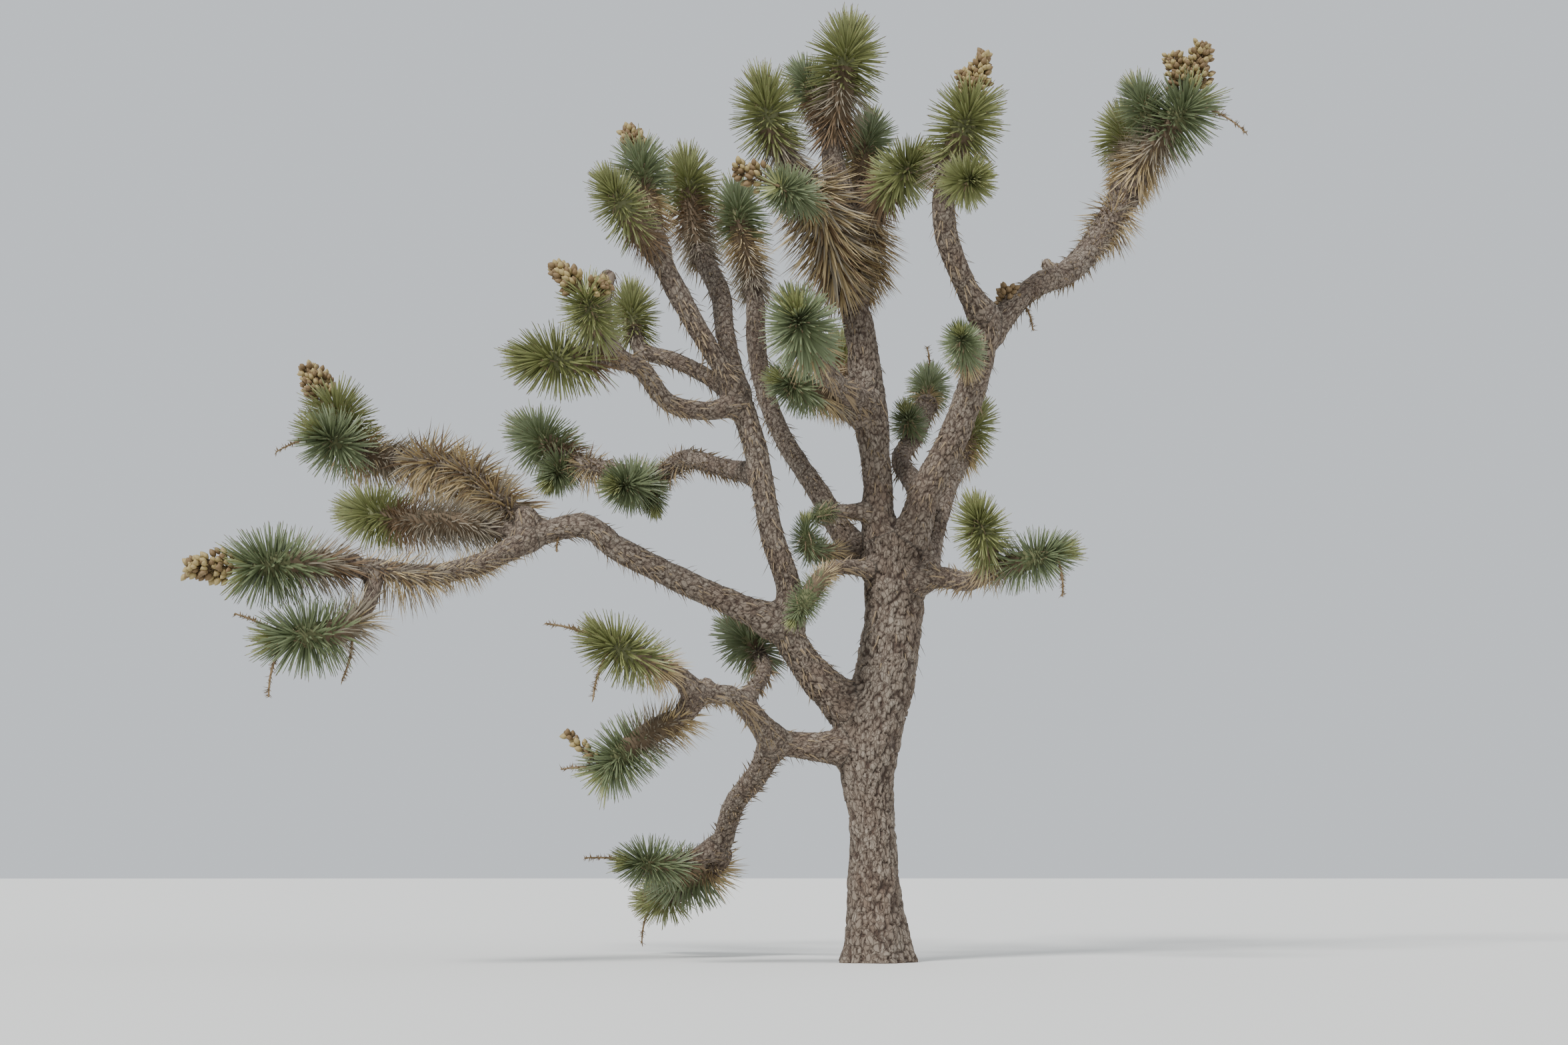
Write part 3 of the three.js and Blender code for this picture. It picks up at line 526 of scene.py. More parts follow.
# Thatch: the dead leaves on a bough, in rounds. Their length is a share of the full one where a round
# starts and in its middle, and they are longer where they hang.
THATCH_FINER = 60
THATCH_LEAN = (132, 88)
THATCH_DROOP = 0.25
THATCH_SHARES = [0.5, 0.3, 0.2]
ROUND_LENGTH = 0.4
ROUND_LENGTHS = (0.75, 1.1)
HANG_LONGER = 0.22

# Thatch that is shorter where it starts, as a share of its full length.
THATCH_START = {"far_right_bough": 0.4, "left_lower_arm": 0.5, "back_left_bough": 0.7}

# Thatch that is longer than the solids' spikes, to stand out as far as the photograph shows.
THATCH_GROWTH = {"top_left_leaves 0": 1.22, "top_right_leaves 0": 1.08}

# Short thatch that only the looks have: [start, end, count, length] of the leaves, by limb.
SHORT_THATCH = {
    "central_bough": [0.6, 0.99, 6, 110],
    "left_fork_stub": [0.2, 0.9, 1, 90],
    "upright_left_bough": [0.7, 0.98, 4, 80],
    "low_left_front_bough": [0.3, 0.98, 4, 80],
    "right_bough": [0.5, 0.98, 3, 80],
}

# Heads whose leaves are longer or shorter than the rest of their kind.
LEAF_GROWTH = {
    "low_left_inner_leaves": 1.2,
    "front_ball_leaves": 1.04,
    "upper_left_leaves": 0.84,
    "right_side_leaves": 0.85,
    "hook_leaves": 0.85,
    "under_fork_leaves": 0.72,
    "link_leaves": 0.62,
}

# A dagger leaf: its width as a share of its length, its thickness as a share of its width, how much
# of that is left where it is narrowest, and the share of its length that starts inside the stem.
LEAF_WIDTH = 0.064
DEAD_LEAF_WIDTH = 0.046
LEAF_THICKNESS = 0.36
NARROW_THICKNESS = 0.4
LIVE_BEND = 0.05
DEAD_BEND = 0.15
LEAF_FOOT = 0.2

# The outlines of the leaves: at each share of the length, the share of the full width.
LIVE_OUTLINE = ((0, 0.85), (0.35, 1), (0.93, 0.28), (1, 0))
DEAD_OUTLINE = ((0, 1), (0.55, 0.72), (1, 0))
SCRAP_OUTLINE = ((0, 1), (0.55, 0.75), (1, 0))

# A leaf keeps clear of limbs at these shares of its length, by a gap. Limbs further off than the
# reach are left out of the search.
CLEAR_SHARES = (0.5, 0.75, 1.0)
CLEAR_GAP = 0.002
CLEAR_REACH = 0.25

# Remains of old leaves that lie back along the bark as a ragged fringe, mostly on the undersides.
FRINGE_PER_METRE = 330
FRINGE_LENGTH = (0.035, 0.095)
FRINGE_WIDTH = 0.010
FRINGE_WIDTHS = (0.6, 1.2)
FRINGE_LEAN = (120, 162)
FRINGE_DROOP = 0.2
FRINGE_START = 0.7
FRINGE_ABOVE = 0.3
FRINGE_SUNK = 0.006

# Stubs of broken boughs: [limb, share of its length, bearing, climb, length, width]. Each bends and
# turns by so many degrees, and is so much wider at its foot.
STUBS = [
    ["far_right_bough", 0.4, 170, 62, 150, 66],
    ["low_left_front_bough", 0.88, 170, 72, 112, 74],
    ["crooked_left_bough", 0.92, 172, 84, 575, 92],
]
STUB_BEND = 13
STUB_TURN = 22
STUB_FOOT = 1.25

# Seed capsules, and a capsule's outline: at each share of its length, the share of its width.
CAPSULE_LENGTH = 0.050
CAPSULE_WIDTH = 0.034
CAPSULE_SIZES = (0.85, 1.1)
CAPSULE_LEAN = 52
CAPSULE_WOBBLE = 14
CAPSULE_OUTLINE = ((0, 0.25), (0.12, 0.62), (0.38, 1), (0.62, 0.94), (0.84, 0.55), (1, 0.08))
CAPSULE_SIDES = 6
CAPSULE_RIBS = 3
RIB_DEPTH = 0.12

# Clusters of capsules: the share of their stalk that bears twigs, their taper, and their twigs.
CAPSULES_PER_VOLUME = 7800
LEAST_CAPSULES = 14
CLUSTER_SPAN = (0.2, 0.97)
CLUSTER_TAPER = (1.15, 0.62)
TWIG_REACH = (0.45, 1.12)
TWIG_WIDTH = 0.007

# Lobes beside a shoot's cluster: the shoot, and a cluster from the same end.
CLUSTER_LOBES = {
    "far_right_leaves": [[335, 168, 71, 210]],
    "upper_right_leaves": [[215, 170, 77, 140]],
    "crooked_left_top_leaves": [[125, -12, 32, 140]],
}

# Clusters with fewer or more capsules than their kind, as a share.
CLUSTER_FILL = {
    "top_left_leaves": 0.5,
    "crooked_left_top_leaves": 2.1,
    "upper_left_top_leaves": 1.6,
    "upper_right_leaves": 1.4,
}

# The thin stalks of old flowers, which bow to one side, and the snags of twigs on them.
STALK_WIDTH = (0.018, 0.009)
STALK_RINGS = 15
STALK_SIDES = 7
STALK_BEND = 0.24
BOW_TURN = (120, 240)
BOW_POWER = 2.4
SNAG_STEP = 0.004
SNAG_START = 0.3
SNAG_LEAN = (40, 85)
SNAG_LENGTH = (0.014, 0.04)
SNAG_WIDTH = 0.008

# More old flower stalks, by mass: [shoot, share of its length, length, bearing, climb].
SIDE_STALKS = {
    "left_top_leaves": [[1, 1, 305, -165, -14]],
    "left_hanging_leaves": [[0, 1, 300, 170, 32], [0, 0.55, 320, -60, -74]],
    "low_left_front_leaves": [[0, 0.9, 310, -170, -60]],
    "back_right_leaves": [[0, 1, 215, 60, 78]],
    "low_left_hanging_leaves": [[0, 1, 260, 175, 12]],
}

# Old remains at a fork: a dry cluster and bare stalks, each with its limb and its place along it.
OLD_CLUSTERS = [["far_right_bough", 0.13, [150, 60, 80, 170]]]
OLD_STALKS = [["far_right_bough", 0.2, [230, -40, -52]], ["long_left_bough", 0.9, [150, -120, -60]]]

# The kinds of leaves. A head has one live kind, and dead ones in an order of its own.
LIVE_KINDS = ["live_leaves_blue_green", "live_leaves_olive"]
YOUNG_KIND = "live_leaves_young"
DEAD_KINDS = ["dead_leaves_straw", "dead_leaves_grey", "dead_leaves_brown"]

# The plain materials: colour as shown, least and most roughness, fineness of the grain, relief.
FINISHES = {
    "live_leaves_blue_green": ((116, 126, 92), (0.38, 0.6), 160, 0.35),
    "live_leaves_olive": ((126, 130, 82), (0.38, 0.6), 160, 0.35),
    "live_leaves_young": ((150, 154, 104), (0.38, 0.6), 160, 0.35),
    "dead_leaves_straw": ((178, 158, 118), (0.6, 0.9), 160, 0.35),
    "dead_leaves_grey": ((142, 132, 114), (0.6, 0.9), 160, 0.35),
    "dead_leaves_brown": ((116, 94, 68), (0.6, 0.9), 160, 0.35),
    "leaf_tip": ((98, 72, 46), (0.45, 0.7), 220, 0.3),
    "old_leaf_feet": ((98, 82, 62), (0.7, 0.95), 90, 0.8),
    "live_leaf_feet": ((98, 100, 66), (0.7, 0.95), 90, 0.8),
    "old_leaf_scraps": ((132, 114, 88), (0.7, 0.95), 160, 0.4),
    "capsule_tan": ((156, 138, 92), (0.5, 0.8), 120, 0.5),
    "capsule_brown": ((118, 96, 64), (0.55, 0.85), 120, 0.5),
    "old_stalk": ((122, 102, 74), (0.7, 0.95), 140, 0.5),
    "floor": ((226, 225, 221), (0.85, 0.95), 4, 0.05),
}
GRAIN_DETAIL = 3
GRAIN_DEPTH = 0.002

# The colours of the bark, each a ramp of places and colours as shown, and how strong each one is. The
# crack colours are painted shade, laid in the cracks and the fine splits.
PLATE_COLOURS = [(0, (92, 78, 66)), (0.45, (122, 108, 94)), (1, (148, 137, 123))]
MOTTLE_COLOURS = [(0.3, (78, 64, 54)), (0.52, (126, 112, 98)), (0.72, (168, 158, 143))]
STAIN_COLOURS = [(0.35, (104, 82, 66)), (0.65, (140, 132, 120))]
FLAKE_COLOURS = [(0, (100, 84, 71)), (0.5, (132, 118, 103)), (1, (158, 148, 134))]
# Painted shade in the cracks between the plates and in the fine splits.
CRACK_SHADE_COLOURS = [(0.25, (48, 37, 30)), (0.75, (80, 62, 50))]
MOTTLE_SHARE = 0.45
FLAKE_SHARE = 0.35
STAIN_SHARE = 0.3

# The patterns of the bark: scale, detail and stretch of each noise, and the small flakes that split
# each plate, which are longer than they are wide and swayed by a noise of their own.
MOTTLE_NOISE = (26, 6, (1, 1, 0.5))
STAIN_NOISE = (3.2, 3, (1, 1, 1))
FIBRE_NOISE = (170, 4, (1, 1, 0.14))
WARP_NOISE = (24, 2, (1, 1, 1))
FLAKE_SCALE = 44
FLAKE_STRETCH = (1, 1, 0.5)
FLAKE_SWAY = (0.03, 0.03, 0.05)
# The width of the fine splits, how much painted shade darkens them, and their relief.
SPLIT_WIDTH = 0.13
SPLIT_SHADE = 0.6
SPLIT_RELIEF = 0.7
BARK_ROUGHNESS = (0.82, 0.97)
BARK_BUMP = 0.8
BARK_BUMP_DEPTH = 0.009

# The studio: the suns' strength, breadth, pitch and turn, the pale surrounding, and the camera.
SUNS = {"key": (3.6, 14, 48, -38), "fill": (0.8, 60, 62, 55)}
FLOOR_RADIUS = 400
FLOOR_SIDES = 96
SKY_COLOUR = (226, 232, 238)
SKY_STRENGTH = 0.95
CAMERA_PLACE = (-0.539, -13.0, 0.5)
CAMERA_PITCH = 99.2156
CAMERA_LENS = 50
CAMERA_SENSOR = 36


def seeded(word):
    """A source of numbers that is the same each time for the same word."""
    return np.random.default_rng(zlib.crc32(word.encode()))


def spread(rng, count, most):
    return rng.uniform(-most, most, count)


def unit(vectors):
    return vectors / np.linalg.norm(vectors, axis=-1, keepdims=True)


def blend(first, last, share):
    return first + (last - first) * share


def smoothstep(low, high, values):
    share = np.clip((values - low) / (high - low), 0, 1)
    return share * share * (3 - 2 * share)


def read_off(place, places, rows):
    """Rows of three numbers at some places between known ones."""
    return np.stack([np.interp(place, places, column) for column in rows.T], axis=1)


def squared_gaps(points, middles):
    return np.sum(points**2, 1)[:, None] + np.sum(middles**2, 1) - 2 * points @ middles.T


def heading(bearing, climb):
    turn = math.radians(bearing)
    rise = math.radians(climb)
    return np.array([math.cos(rise) * math.cos(turn), math.cos(rise) * math.sin(turn), math.sin(rise)])


def square_part(vectors, axes):
    """The directions of some vectors, once what lies along the axes is taken out."""
    return unit(vectors - axes * np.sum(vectors * axes, axis=1, keepdims=True))


def square_to(axes):
    """The directions square to some axes that rise most, or lie nearest to +X by an upright axis."""
    upright = np.abs(axes[:, 2:]) > UPRIGHT
    return square_part(np.where(upright, [1.0, 0.0, 0.0], [0.0, 0.0, 1.0]), axes)


def leaning(axes, turns, leans):
    """Directions that lean away from axes, each at a turn round its own, in degrees."""
    side = square_to(axes)
    across = np.cross(axes, side)
    turn = np.radians(turns)[:, None]
    lean = np.radians(np.broadcast_to(leans, len(axes)))[:, None]
    spoke = side * np.cos(turn) + across * np.sin(turn)
    return spoke * np.sin(lean) + axes * np.cos(lean)


class Line:
    """The centre line of a limb: a smooth curve through the ends of its stretches, and its widths."""

    def __init__(self, start, width, stretches, parent_radius=0):
        elbows = [np.array(start, float)]
        widths = [width * MM]
        for length, bearing, climb, end_width in stretches:
            elbows.append(elbows[-1] + heading(bearing, climb) * length * MM)
            widths.append(end_width * MM)
        before = 2 * elbows[0] - elbows[1]
        beyond = 2 * elbows[-1] - elbows[-2]
        self.parent_radius = parent_radius
        self.knots = np.array([before, *elbows, beyond])
        self.widths = np.array(widths)
        rough_length = np.sum(np.linalg.norm(np.diff(self.knots[1:-1], axis=0), axis=1))
        self.shares = np.linspace(0, 1, int(rough_length / LINE_STEP) + 2)
        self.points = self.point(self.shares)
        steps = np.linalg.norm(np.diff(self.points, axis=0), axis=1)
        self.reached = np.concatenate([[0], np.cumsum(steps)])
        self.length = self.reached[-1]
        self.tangents = self.tangent(self.shares)
        self.radii = self.radius(self.shares)
        self.sides = self.carried_sides()

    def point(self, share):
        """Points of a centripetal Catmull-Rom curve through the knots."""
        spans = len(self.widths) - 1
        place = np.clip(share, 0, 1) * spans
        knot = np.minimum(place.astype(int), spans - 1)
        rest = (place - knot)[:, None]
        p0, p1, p2, p3 = (self.knots[knot + step] for step in range(4))
        d0, d1, d2 = (
            np.sqrt(np.linalg.norm(end - begin, axis=1))[:, None]
            for begin, end in ((p0, p1), (p1, p2), (p2, p3))
        )
        leave = ((p1 - p0) / d0 - (p2 - p0) / (d0 + d1) + (p2 - p1) / d1) * d1
        arrive = ((p2 - p1) / d1 - (p3 - p1) / (d1 + d2) + (p3 - p2) / d2) * d1
        square = 3 * (p2 - p1) - 2 * leave - arrive
        cube = 2 * (p1 - p2) + leave + arrive
        return p1 + rest * (leave + rest * (square + rest * cube))

    def spot(self, share):
        """One point of the line."""
        return self.point(np.array([share]))[0]

    def branch(self, share, width, stretches):
        """A line that grows from this one."""
        return Line(self.spot(share), width, stretches, self.radius(share))

    def tangent(self, share):
        hair = 1e-4
        after = self.point(np.minimum(share + hair, 1))
        return unit(after - self.point(np.maximum(share - hair, 0)))

    def radius(self, share):
        place = share * (len(self.widths) - 1)
        return np.interp(place, np.arange(len(self.widths)), self.widths) / 2

    def share_at(self, distance):
        return np.interp(distance, self.reached, self.shares)

    def distance_at(self, share):
        return np.interp(share, self.shares, self.reached)

    def carried_sides(self):
        """One direction square to the line, carried along it without a twist."""
        sides = [square_to(self.tangents[:1])[0]]
        for tangent in self.tangents[1:]:
            side = sides[-1] - tangent * np.dot(sides[-1], tangent)
            sides.append(side / np.linalg.norm(side))
        return np.array(sides)

    def tube(self, distances, radii, sides):
        """A tube round the line, with a ring at each distance along it."""
        shares = self.share_at(distances)
        carried = square_part(read_off(shares, self.shares, self.sides), self.tangent(shares))
        return closed_tube(self.point(shares), self.tangent(shares), carried, radii, sides)

    def nearest(self, points):
        """For each point: its distance outside the limb, and where round and along the limb it lies."""
        squares = squared_gaps(points, self.points)
        place = np.argmin(squares, axis=1)
        away = points - self.points[place]
        axis = self.tangents[place]
        side = self.sides[place]
        ahead = np.sum(away * axis, axis=1)
        across = np.cross(axis, side)
        angle = np.arctan2(np.sum(away * across, axis=1), np.sum(away * side, axis=1))
        outside = np.sqrt(np.maximum(squares[np.arange(len(points)), place], 0)) - self.radii[place]
        return outside, angle, self.reached[place] + ahead, self.radii[place]


def grow_lines():
    """The centre lines of the limbs, and of the shoots of each mass of leaves."""
    limbs = {}
    for name, limb in LIMBS.items():
        if "from" in limb:
            limbs[name] = limbs[limb["from"]].branch(limb["at"], limb["width"], limb["stretches"])
        else:
            limbs[name] = Line((0, 0, 0), limb["width"], limb["stretches"])
    shoots = {}
    for name, mass in MASSES.items():
        shoots[name] = []
        for shoot in mass["shoots"]:
            parent = shoots[name][shoot["on"]] if "on" in shoot else limbs[mass["from"]]
            share = shoot.get("at", mass["at"])
            shoots[name].append(parent.branch(share, shoot["width"], shoot["stretches"]))
    return limbs, shoots


LIMB_LINES, SHOOT_LINES = grow_lines()

# Every shoot: its node, its own name, its dimensions and its centre line.
SHOOTS = [(name, f"{name} {index}", shoot, SHOOT_LINES[name][index])
    for name, mass in MASSES.items() for index, shoot in enumerate(mass["shoots"])]

# Every limb and shoot: its node, its own name and its centre line.
STEMS = [(name, name, line) for name, line in LIMB_LINES.items()]
STEMS.extend((name, own, line) for name, own, _, line in SHOOTS)

# Every second point of the limbs and shoots, its radius, and the name of the limb or shoot.
STEM_POINTS = np.concatenate([line.points[::2] for _, _, line in STEMS])
STEM_RADII = np.concatenate([line.radii[::2] for _, _, line in STEMS])
STEM_OWNERS = np.concatenate([np.full(len(line.points[::2]), own) for _, own, line in STEMS])


def stub_lines():
    """The limbs that bear a stub of a broken bough, each with the stub's centre line."""
    lines = []
    for name, share, bearing, climb, length, width in STUBS:
        stretches = [[length / 2, bearing + turn, climb + bend, width]
            for turn, bend in ((-STUB_TURN, -STUB_BEND), (STUB_TURN, STUB_BEND))]
        lines.append((name, Line(LIMB_LINES[name].spot(share), width * STUB_FOOT, stretches)))
    return lines


def lattice_noise(points, size, word):
    """Smooth noise between -1 and 1 that changes over about a size."""
    table = seeded(word).uniform(-1, 1, TABLE_SIZE)
    scaled = points / size
    cell = np.floor(scaled).astype(np.int64)
    rest = scaled - cell
    rest = rest * rest * (3 - 2 * rest)
    total = np.zeros(len(points))
    for corner in np.ndindex(2, 2, 2):
        key = np.bitwise_xor.reduce((cell + corner) * CELL_SCATTER, axis=1)
        weight = np.prod(np.where(corner, rest, 1 - rest), axis=1)
        total += table[key % TABLE_SIZE] * weight
    return total


def layered_noise(points, layers):
    return sum(strength * lattice_noise(points, size, word) for strength, size, word in layers)


def plates(across, along, around):
    """Uneven cells on a grid that closes after so many cells around. Gives how far a point lies from
    its cell's edge, and a number that is the cell's own."""
    table = seeded("plates").uniform(0, 1, (TABLE_SIZE, 3))
    cell_across = np.floor(across).astype(np.int64)
    cell_along = np.floor(along).astype(np.int64)
    nearest = np.full(len(across), FAR)
    second = np.full(len(across), FAR)
    own = np.zeros(len(across))
    for step_across in (-1, 0, 1):
        for step_along in (-1, 0, 1):
            column = cell_across + step_across
            row = cell_along + step_along
            key = (column % around) * PLATE_SCATTER[0] + row * PLATE_SCATTER[1]
            entry = table[key % TABLE_SIZE]
            gap = np.hypot(column + entry[:, 0] - across, row + entry[:, 1] - along)
            closer = gap < nearest
            second = np.where(closer, nearest, np.minimum(second, gap))
            own = np.where(closer, entry[:, 2], own)
            nearest = np.where(closer, gap, nearest)
    return second - nearest, own


def relief(points, place, owner, gap, lines):
    """How far the bark stands out at some points, how open it is there, and its plates' own tone."""
    angle, along, radius = place
    open_bark = np.ones(len(points))
    tone = np.full(len(points), 0.5)
    sway = layered_noise(points, SWAY)
    drift = layered_noise(points, DRIFT)
    for index, line in enumerate(lines):
        mine = np.flatnonzero(owner == index)
        if len(mine) == 0:
            continue
        width, height = TRUNK_PLATE if index == 0 else BOUGH_PLATE
        around = max(int(round(2 * math.pi * np.median(line.radii) / width)), LEAST_PLATES)
        across = (angle[mine] / (2 * math.pi) + 0.5) * around + sway[mine]
        edge, own = plates(across, along[mine] / height + drift[mine], around)
        open_bark[mine] = smoothstep(*CRACK_EDGE, edge)
        tone[mine] = own
    girth = np.clip(radius / FULL_RELIEF_RADIUS, LEAST_RELIEF, 1)
    settled = smoothstep(0, SEAM_FADE, gap)
    plate_height = open_bark - PLATE_MEAN + PLATE_UNEVEN * (tone - 0.5)
    raised = CRACK_DEPTH * girth * settled * plate_height
    raised = raised + LUMP_HEIGHT * girth * layered_noise(points, LUMPS)
    raised = raised + CRUMB_HEIGHT * girth * layered_noise(points, CRUMBS)
    return raised, open_bark, tone


def add_object(name, data):
    thing = bpy.data.objects.new(name, data)
    bpy.context.scene.collection.objects.link(thing)
    return thing


def make_object(name, verts, faces, materials, looks=None, smooth=False):
    """A mesh object from arrays: all its faces have as many corners."""
    corners = faces.shape[1]
    starts = np.arange(0, len(faces) * corners, corners, dtype=np.int32)
    mesh = bpy.data.meshes.new(name)
    mesh.vertices.add(len(verts))
    mesh.vertices.foreach_set("co", np.ascontiguousarray(verts, np.float32).ravel())
    mesh.loops.add(len(faces) * corners)
    mesh.loops.foreach_set("vertex_index", np.ascontiguousarray(faces, np.int32).ravel())
    mesh.polygons.add(len(faces))
    mesh.polygons.foreach_set("loop_start", starts)
    if looks is not None:
        mesh.polygons.foreach_set("material_index", np.ascontiguousarray(looks, np.int32))
    mesh.update(calc_edges=True)
    if smooth:
        mesh.shade_smooth()
    else:
        mesh.shade_flat()
    for material in materials:
        mesh.materials.append(material)
    return add_object(name, mesh)


def finish_piece(piece, nodes):
    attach(piece, "root")
    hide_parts(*nodes)


class Pile:
    """Collects the triangles of many small shapes that make one piece. Each triangle's look is the
    number of its material."""

    def __init__(self):
        self.verts = []
        self.faces = []
        self.looks = []
        self.nodes = set()
        self.count = 0

    def add(self, verts, faces, looks=0, node=""):
        self.verts.append(verts)
        self.faces.append(faces + self.count)
        self.looks.append(np.broadcast_to(looks, len(faces)))
        self.nodes.add(node)
        self.count += len(verts)

    def joined(self):
        return np.concatenate(self.verts), np.concatenate(self.faces)

    def make(self, name, finishes, smooth=False):
        """One piece of leaves, twigs or fruit."""
        materials = [plain_material(finish) for finish in finishes]
        piece = make_object(name, *self.joined(), materials, np.concatenate(self.looks), smooth)
        finish_piece(piece, sorted(self.nodes))


def spokes_round(axes, sides_of_axes, count):
    """Directions square to some axes, so many round each."""
    angles = (np.arange(count) * 2 * np.pi / count)[:, None]
    across = np.cross(axes, sides_of_axes)
    return sides_of_axes[:, None] * np.cos(angles) + across[:, None] * np.sin(angles)


def ring_walls(rings, sides):
    """The triangles of a wall through rings of corners."""
    here = np.arange(rings - 1)[:, None] * sides + np.arange(sides)
    beside = np.roll(here, -1, axis=1)
    walls = np.stack([here, beside, here + sides, beside, beside + sides, here + sides], -1)
    return walls.reshape(-1, 3)


def copies(template, count, corners):
    """The triangles of a shape, for so many copies of it with so many corners each."""
    firsts = (np.arange(count) * corners)[:, None, None]
    return (np.array(template)[None] + firsts).reshape(-1, 3)


def closed_tube(points, tangents, sides_of_line, radii, sides):
    """A closed tube of triangles round a line, with a middle point in each end. The radii have a row
    for each ring, and a column for each side or one for all."""
    rings = len(points)
    skin = points[:, None] + spokes_round(tangents, sides_of_line, sides) * radii[..., None]
    verts = np.concatenate([skin.reshape(-1, 3), points[:1], points[-1:]])
    here = np.arange(sides)
    beside = np.roll(here, -1)
    end = (rings - 1) * sides
    first = np.stack([np.full(sides, rings * sides), beside, here], -1)
    last = np.stack([np.full(sides, rings * sides + 1), here + end, beside + end], -1)
    return verts, np.concatenate([ring_walls(rings, sides), first, last])


def steps_along(start, end, step):
    return np.append(np.arange(start, end - step / 2, step), end)


def rounded_end(distances, length, radii):
    """Shrinks the last radii of a limb to a rounded end."""
    short = np.clip((distances - (length - radii)) / radii, 0, END_CUT)
    return radii * np.sqrt(1 - short**2)


def trunk_tube():
    """The trunk's tube, with its root flare, from below the ground up."""
    width = LIMBS["trunk"]["width"]
    stretches = [[BELOW_GROUND, 0, 90, width], *LIMBS["trunk"]["stretches"]]
    line = Line((0, 0, -BELOW_GROUND * MM), width, stretches)
    distances = np.append(np.arange(0, line.length, RING_STEP), line.length)
    shares = line.share_at(distances)
    angles = np.arange(LIMB_SIDES) * 2 * np.pi / LIMB_SIDES
    flare = np.exp(-np.maximum(line.point(shares)[:, 2:], 0) / FLARE_HEIGHT)
    lobes = 1 + FLARE_LOBE_DEPTH * np.cos(angles * FLARE_LOBES)
    shape = 1 + flare * (FLARE_SPREAD * lobes - 1)
    radii = rounded_end(distances, line.length, line.radius(shares))[:, None] * shape
    return line.tube(distances, radii + SKIN_SLACK, LIMB_SIDES)


def limb_tube(line, end):
    """A limb's tube, up to a distance along it, with a collar where it leaves its parent."""
    distances = steps_along(0, end, RING_STEP)
    past = np.maximum(distances - line.parent_radius, 0)
    collar = 1 + COLLAR_SWELL * np.exp(-past / (line.radius(0) * COLLAR_FADE))
    radii = rounded_end(distances, end, line.radius(line.share_at(distances)) * collar)
    return line.tube(distances, (radii + SKIN_SLACK)[:, None], LIMB_SIDES)


def bare_tubes():
    """Closed tubes of every limb, of every shoot as far as it is bare, and of the stubs."""
    yield trunk_tube()
    for name, line in LIMB_LINES.items():
        if name != "trunk":
            yield limb_tube(line, line.length)
    for _, _, shoot, line in SHOOTS:
        yield limb_tube(line, min(line.distance_at(shoot["bare"]) + BALL_DEPTH / 2, line.length))
    for _, line in stub_lines():
        yield limb_tube(line, line.length)


def one_skin():
    """The bare limbs and shoots as one skin, with rounded hollows where they meet."""
    pile = Pile()
    for verts, faces in bare_tubes():
        pile.add(verts, faces)
    rough = make_object("rough_skin", *pile.joined(), [])
    for size, rounds in SKIN_GRIDS:
        remesh = rough.modifiers.new("grid", "REMESH")
        remesh.mode = "VOXEL"
        remesh.voxel_size = size
        rough.modifiers.new("relax", "SMOOTH").iterations = rounds
    evaluated = rough.evaluated_get(bpy.context.evaluated_depsgraph_get())
    mesh = bpy.data.meshes.new_from_object(evaluated)
    bpy.data.objects.remove(rough)
    return mesh


def owners_of(points, lines):
    """Which line lies nearest to each point, how clearly, and where round and along it the point is."""
    count = len(points)
    best = np.full(count, FAR)
    second = np.full(count, FAR)
    owner = np.zeros(count, int)
    place = np.zeros((3, count))
    for index, line in enumerate(lines):
        margin = line.radii.max() + OWNER_REACH
        low = line.points.min(0) - margin
        high = line.points.max(0) + margin
        close = np.flatnonzero(np.all((points > low) & (points < high), axis=1))
        if len(close) == 0:
            continue
        outside, angle, along, radius = line.nearest(points[close])
        closer = outside < best[close]
        second[close] = np.where(closer, best[close], np.minimum(second[close], outside))
        chosen = close[closer]
        best[chosen] = outside[closer]
        owner[chosen] = index
        place[:, chosen] = angle[closer], along[closer], radius[closer]
    return owner, second - best, place


def cut_at_ground(mesh):
    """Cuts the mesh off flat at the ground and closes the cut."""
    work = bmesh.new()
    work.from_mesh(mesh)
    everything = work.verts[:] + work.edges[:] + work.faces[:]
    bmesh.ops.bisect_plane(work, geom=everything, plane_co=(0, 0, 0), plane_no=(0, 0, 1),
        clear_inner=True)
    bmesh.ops.holes_fill(work, edges=[edge for edge in work.edges if edge.is_boundary], sides=0)
    work.to_mesh(mesh)
    work.free()


def keep_group(mesh, number):
    """Deletes every face but those of one group. A face belongs with its first corner."""
    work = bmesh.new()
    work.from_mesh(mesh)
    layer = work.verts.layers.float["group"]
    others = [face for face in work.faces if round(face.verts[0][layer]) != number]
    bmesh.ops.delete(work, geom=others, context="FACES")
    work.to_mesh(mesh)
    work.free()
    mesh.attributes.remove(mesh.attributes["group"])


def read_vectors(items, name):
    values = np.zeros(len(items) * 3, np.float32)
    items.foreach_get(name, values)
    return values.reshape(-1, 3).astype(float)


def add_attribute(mesh, name, kind, field, values):
    layer = mesh.attributes.new(name, kind, "POINT")
    layer.data.foreach_set(field, np.ascontiguousarray(values, np.float32).ravel())


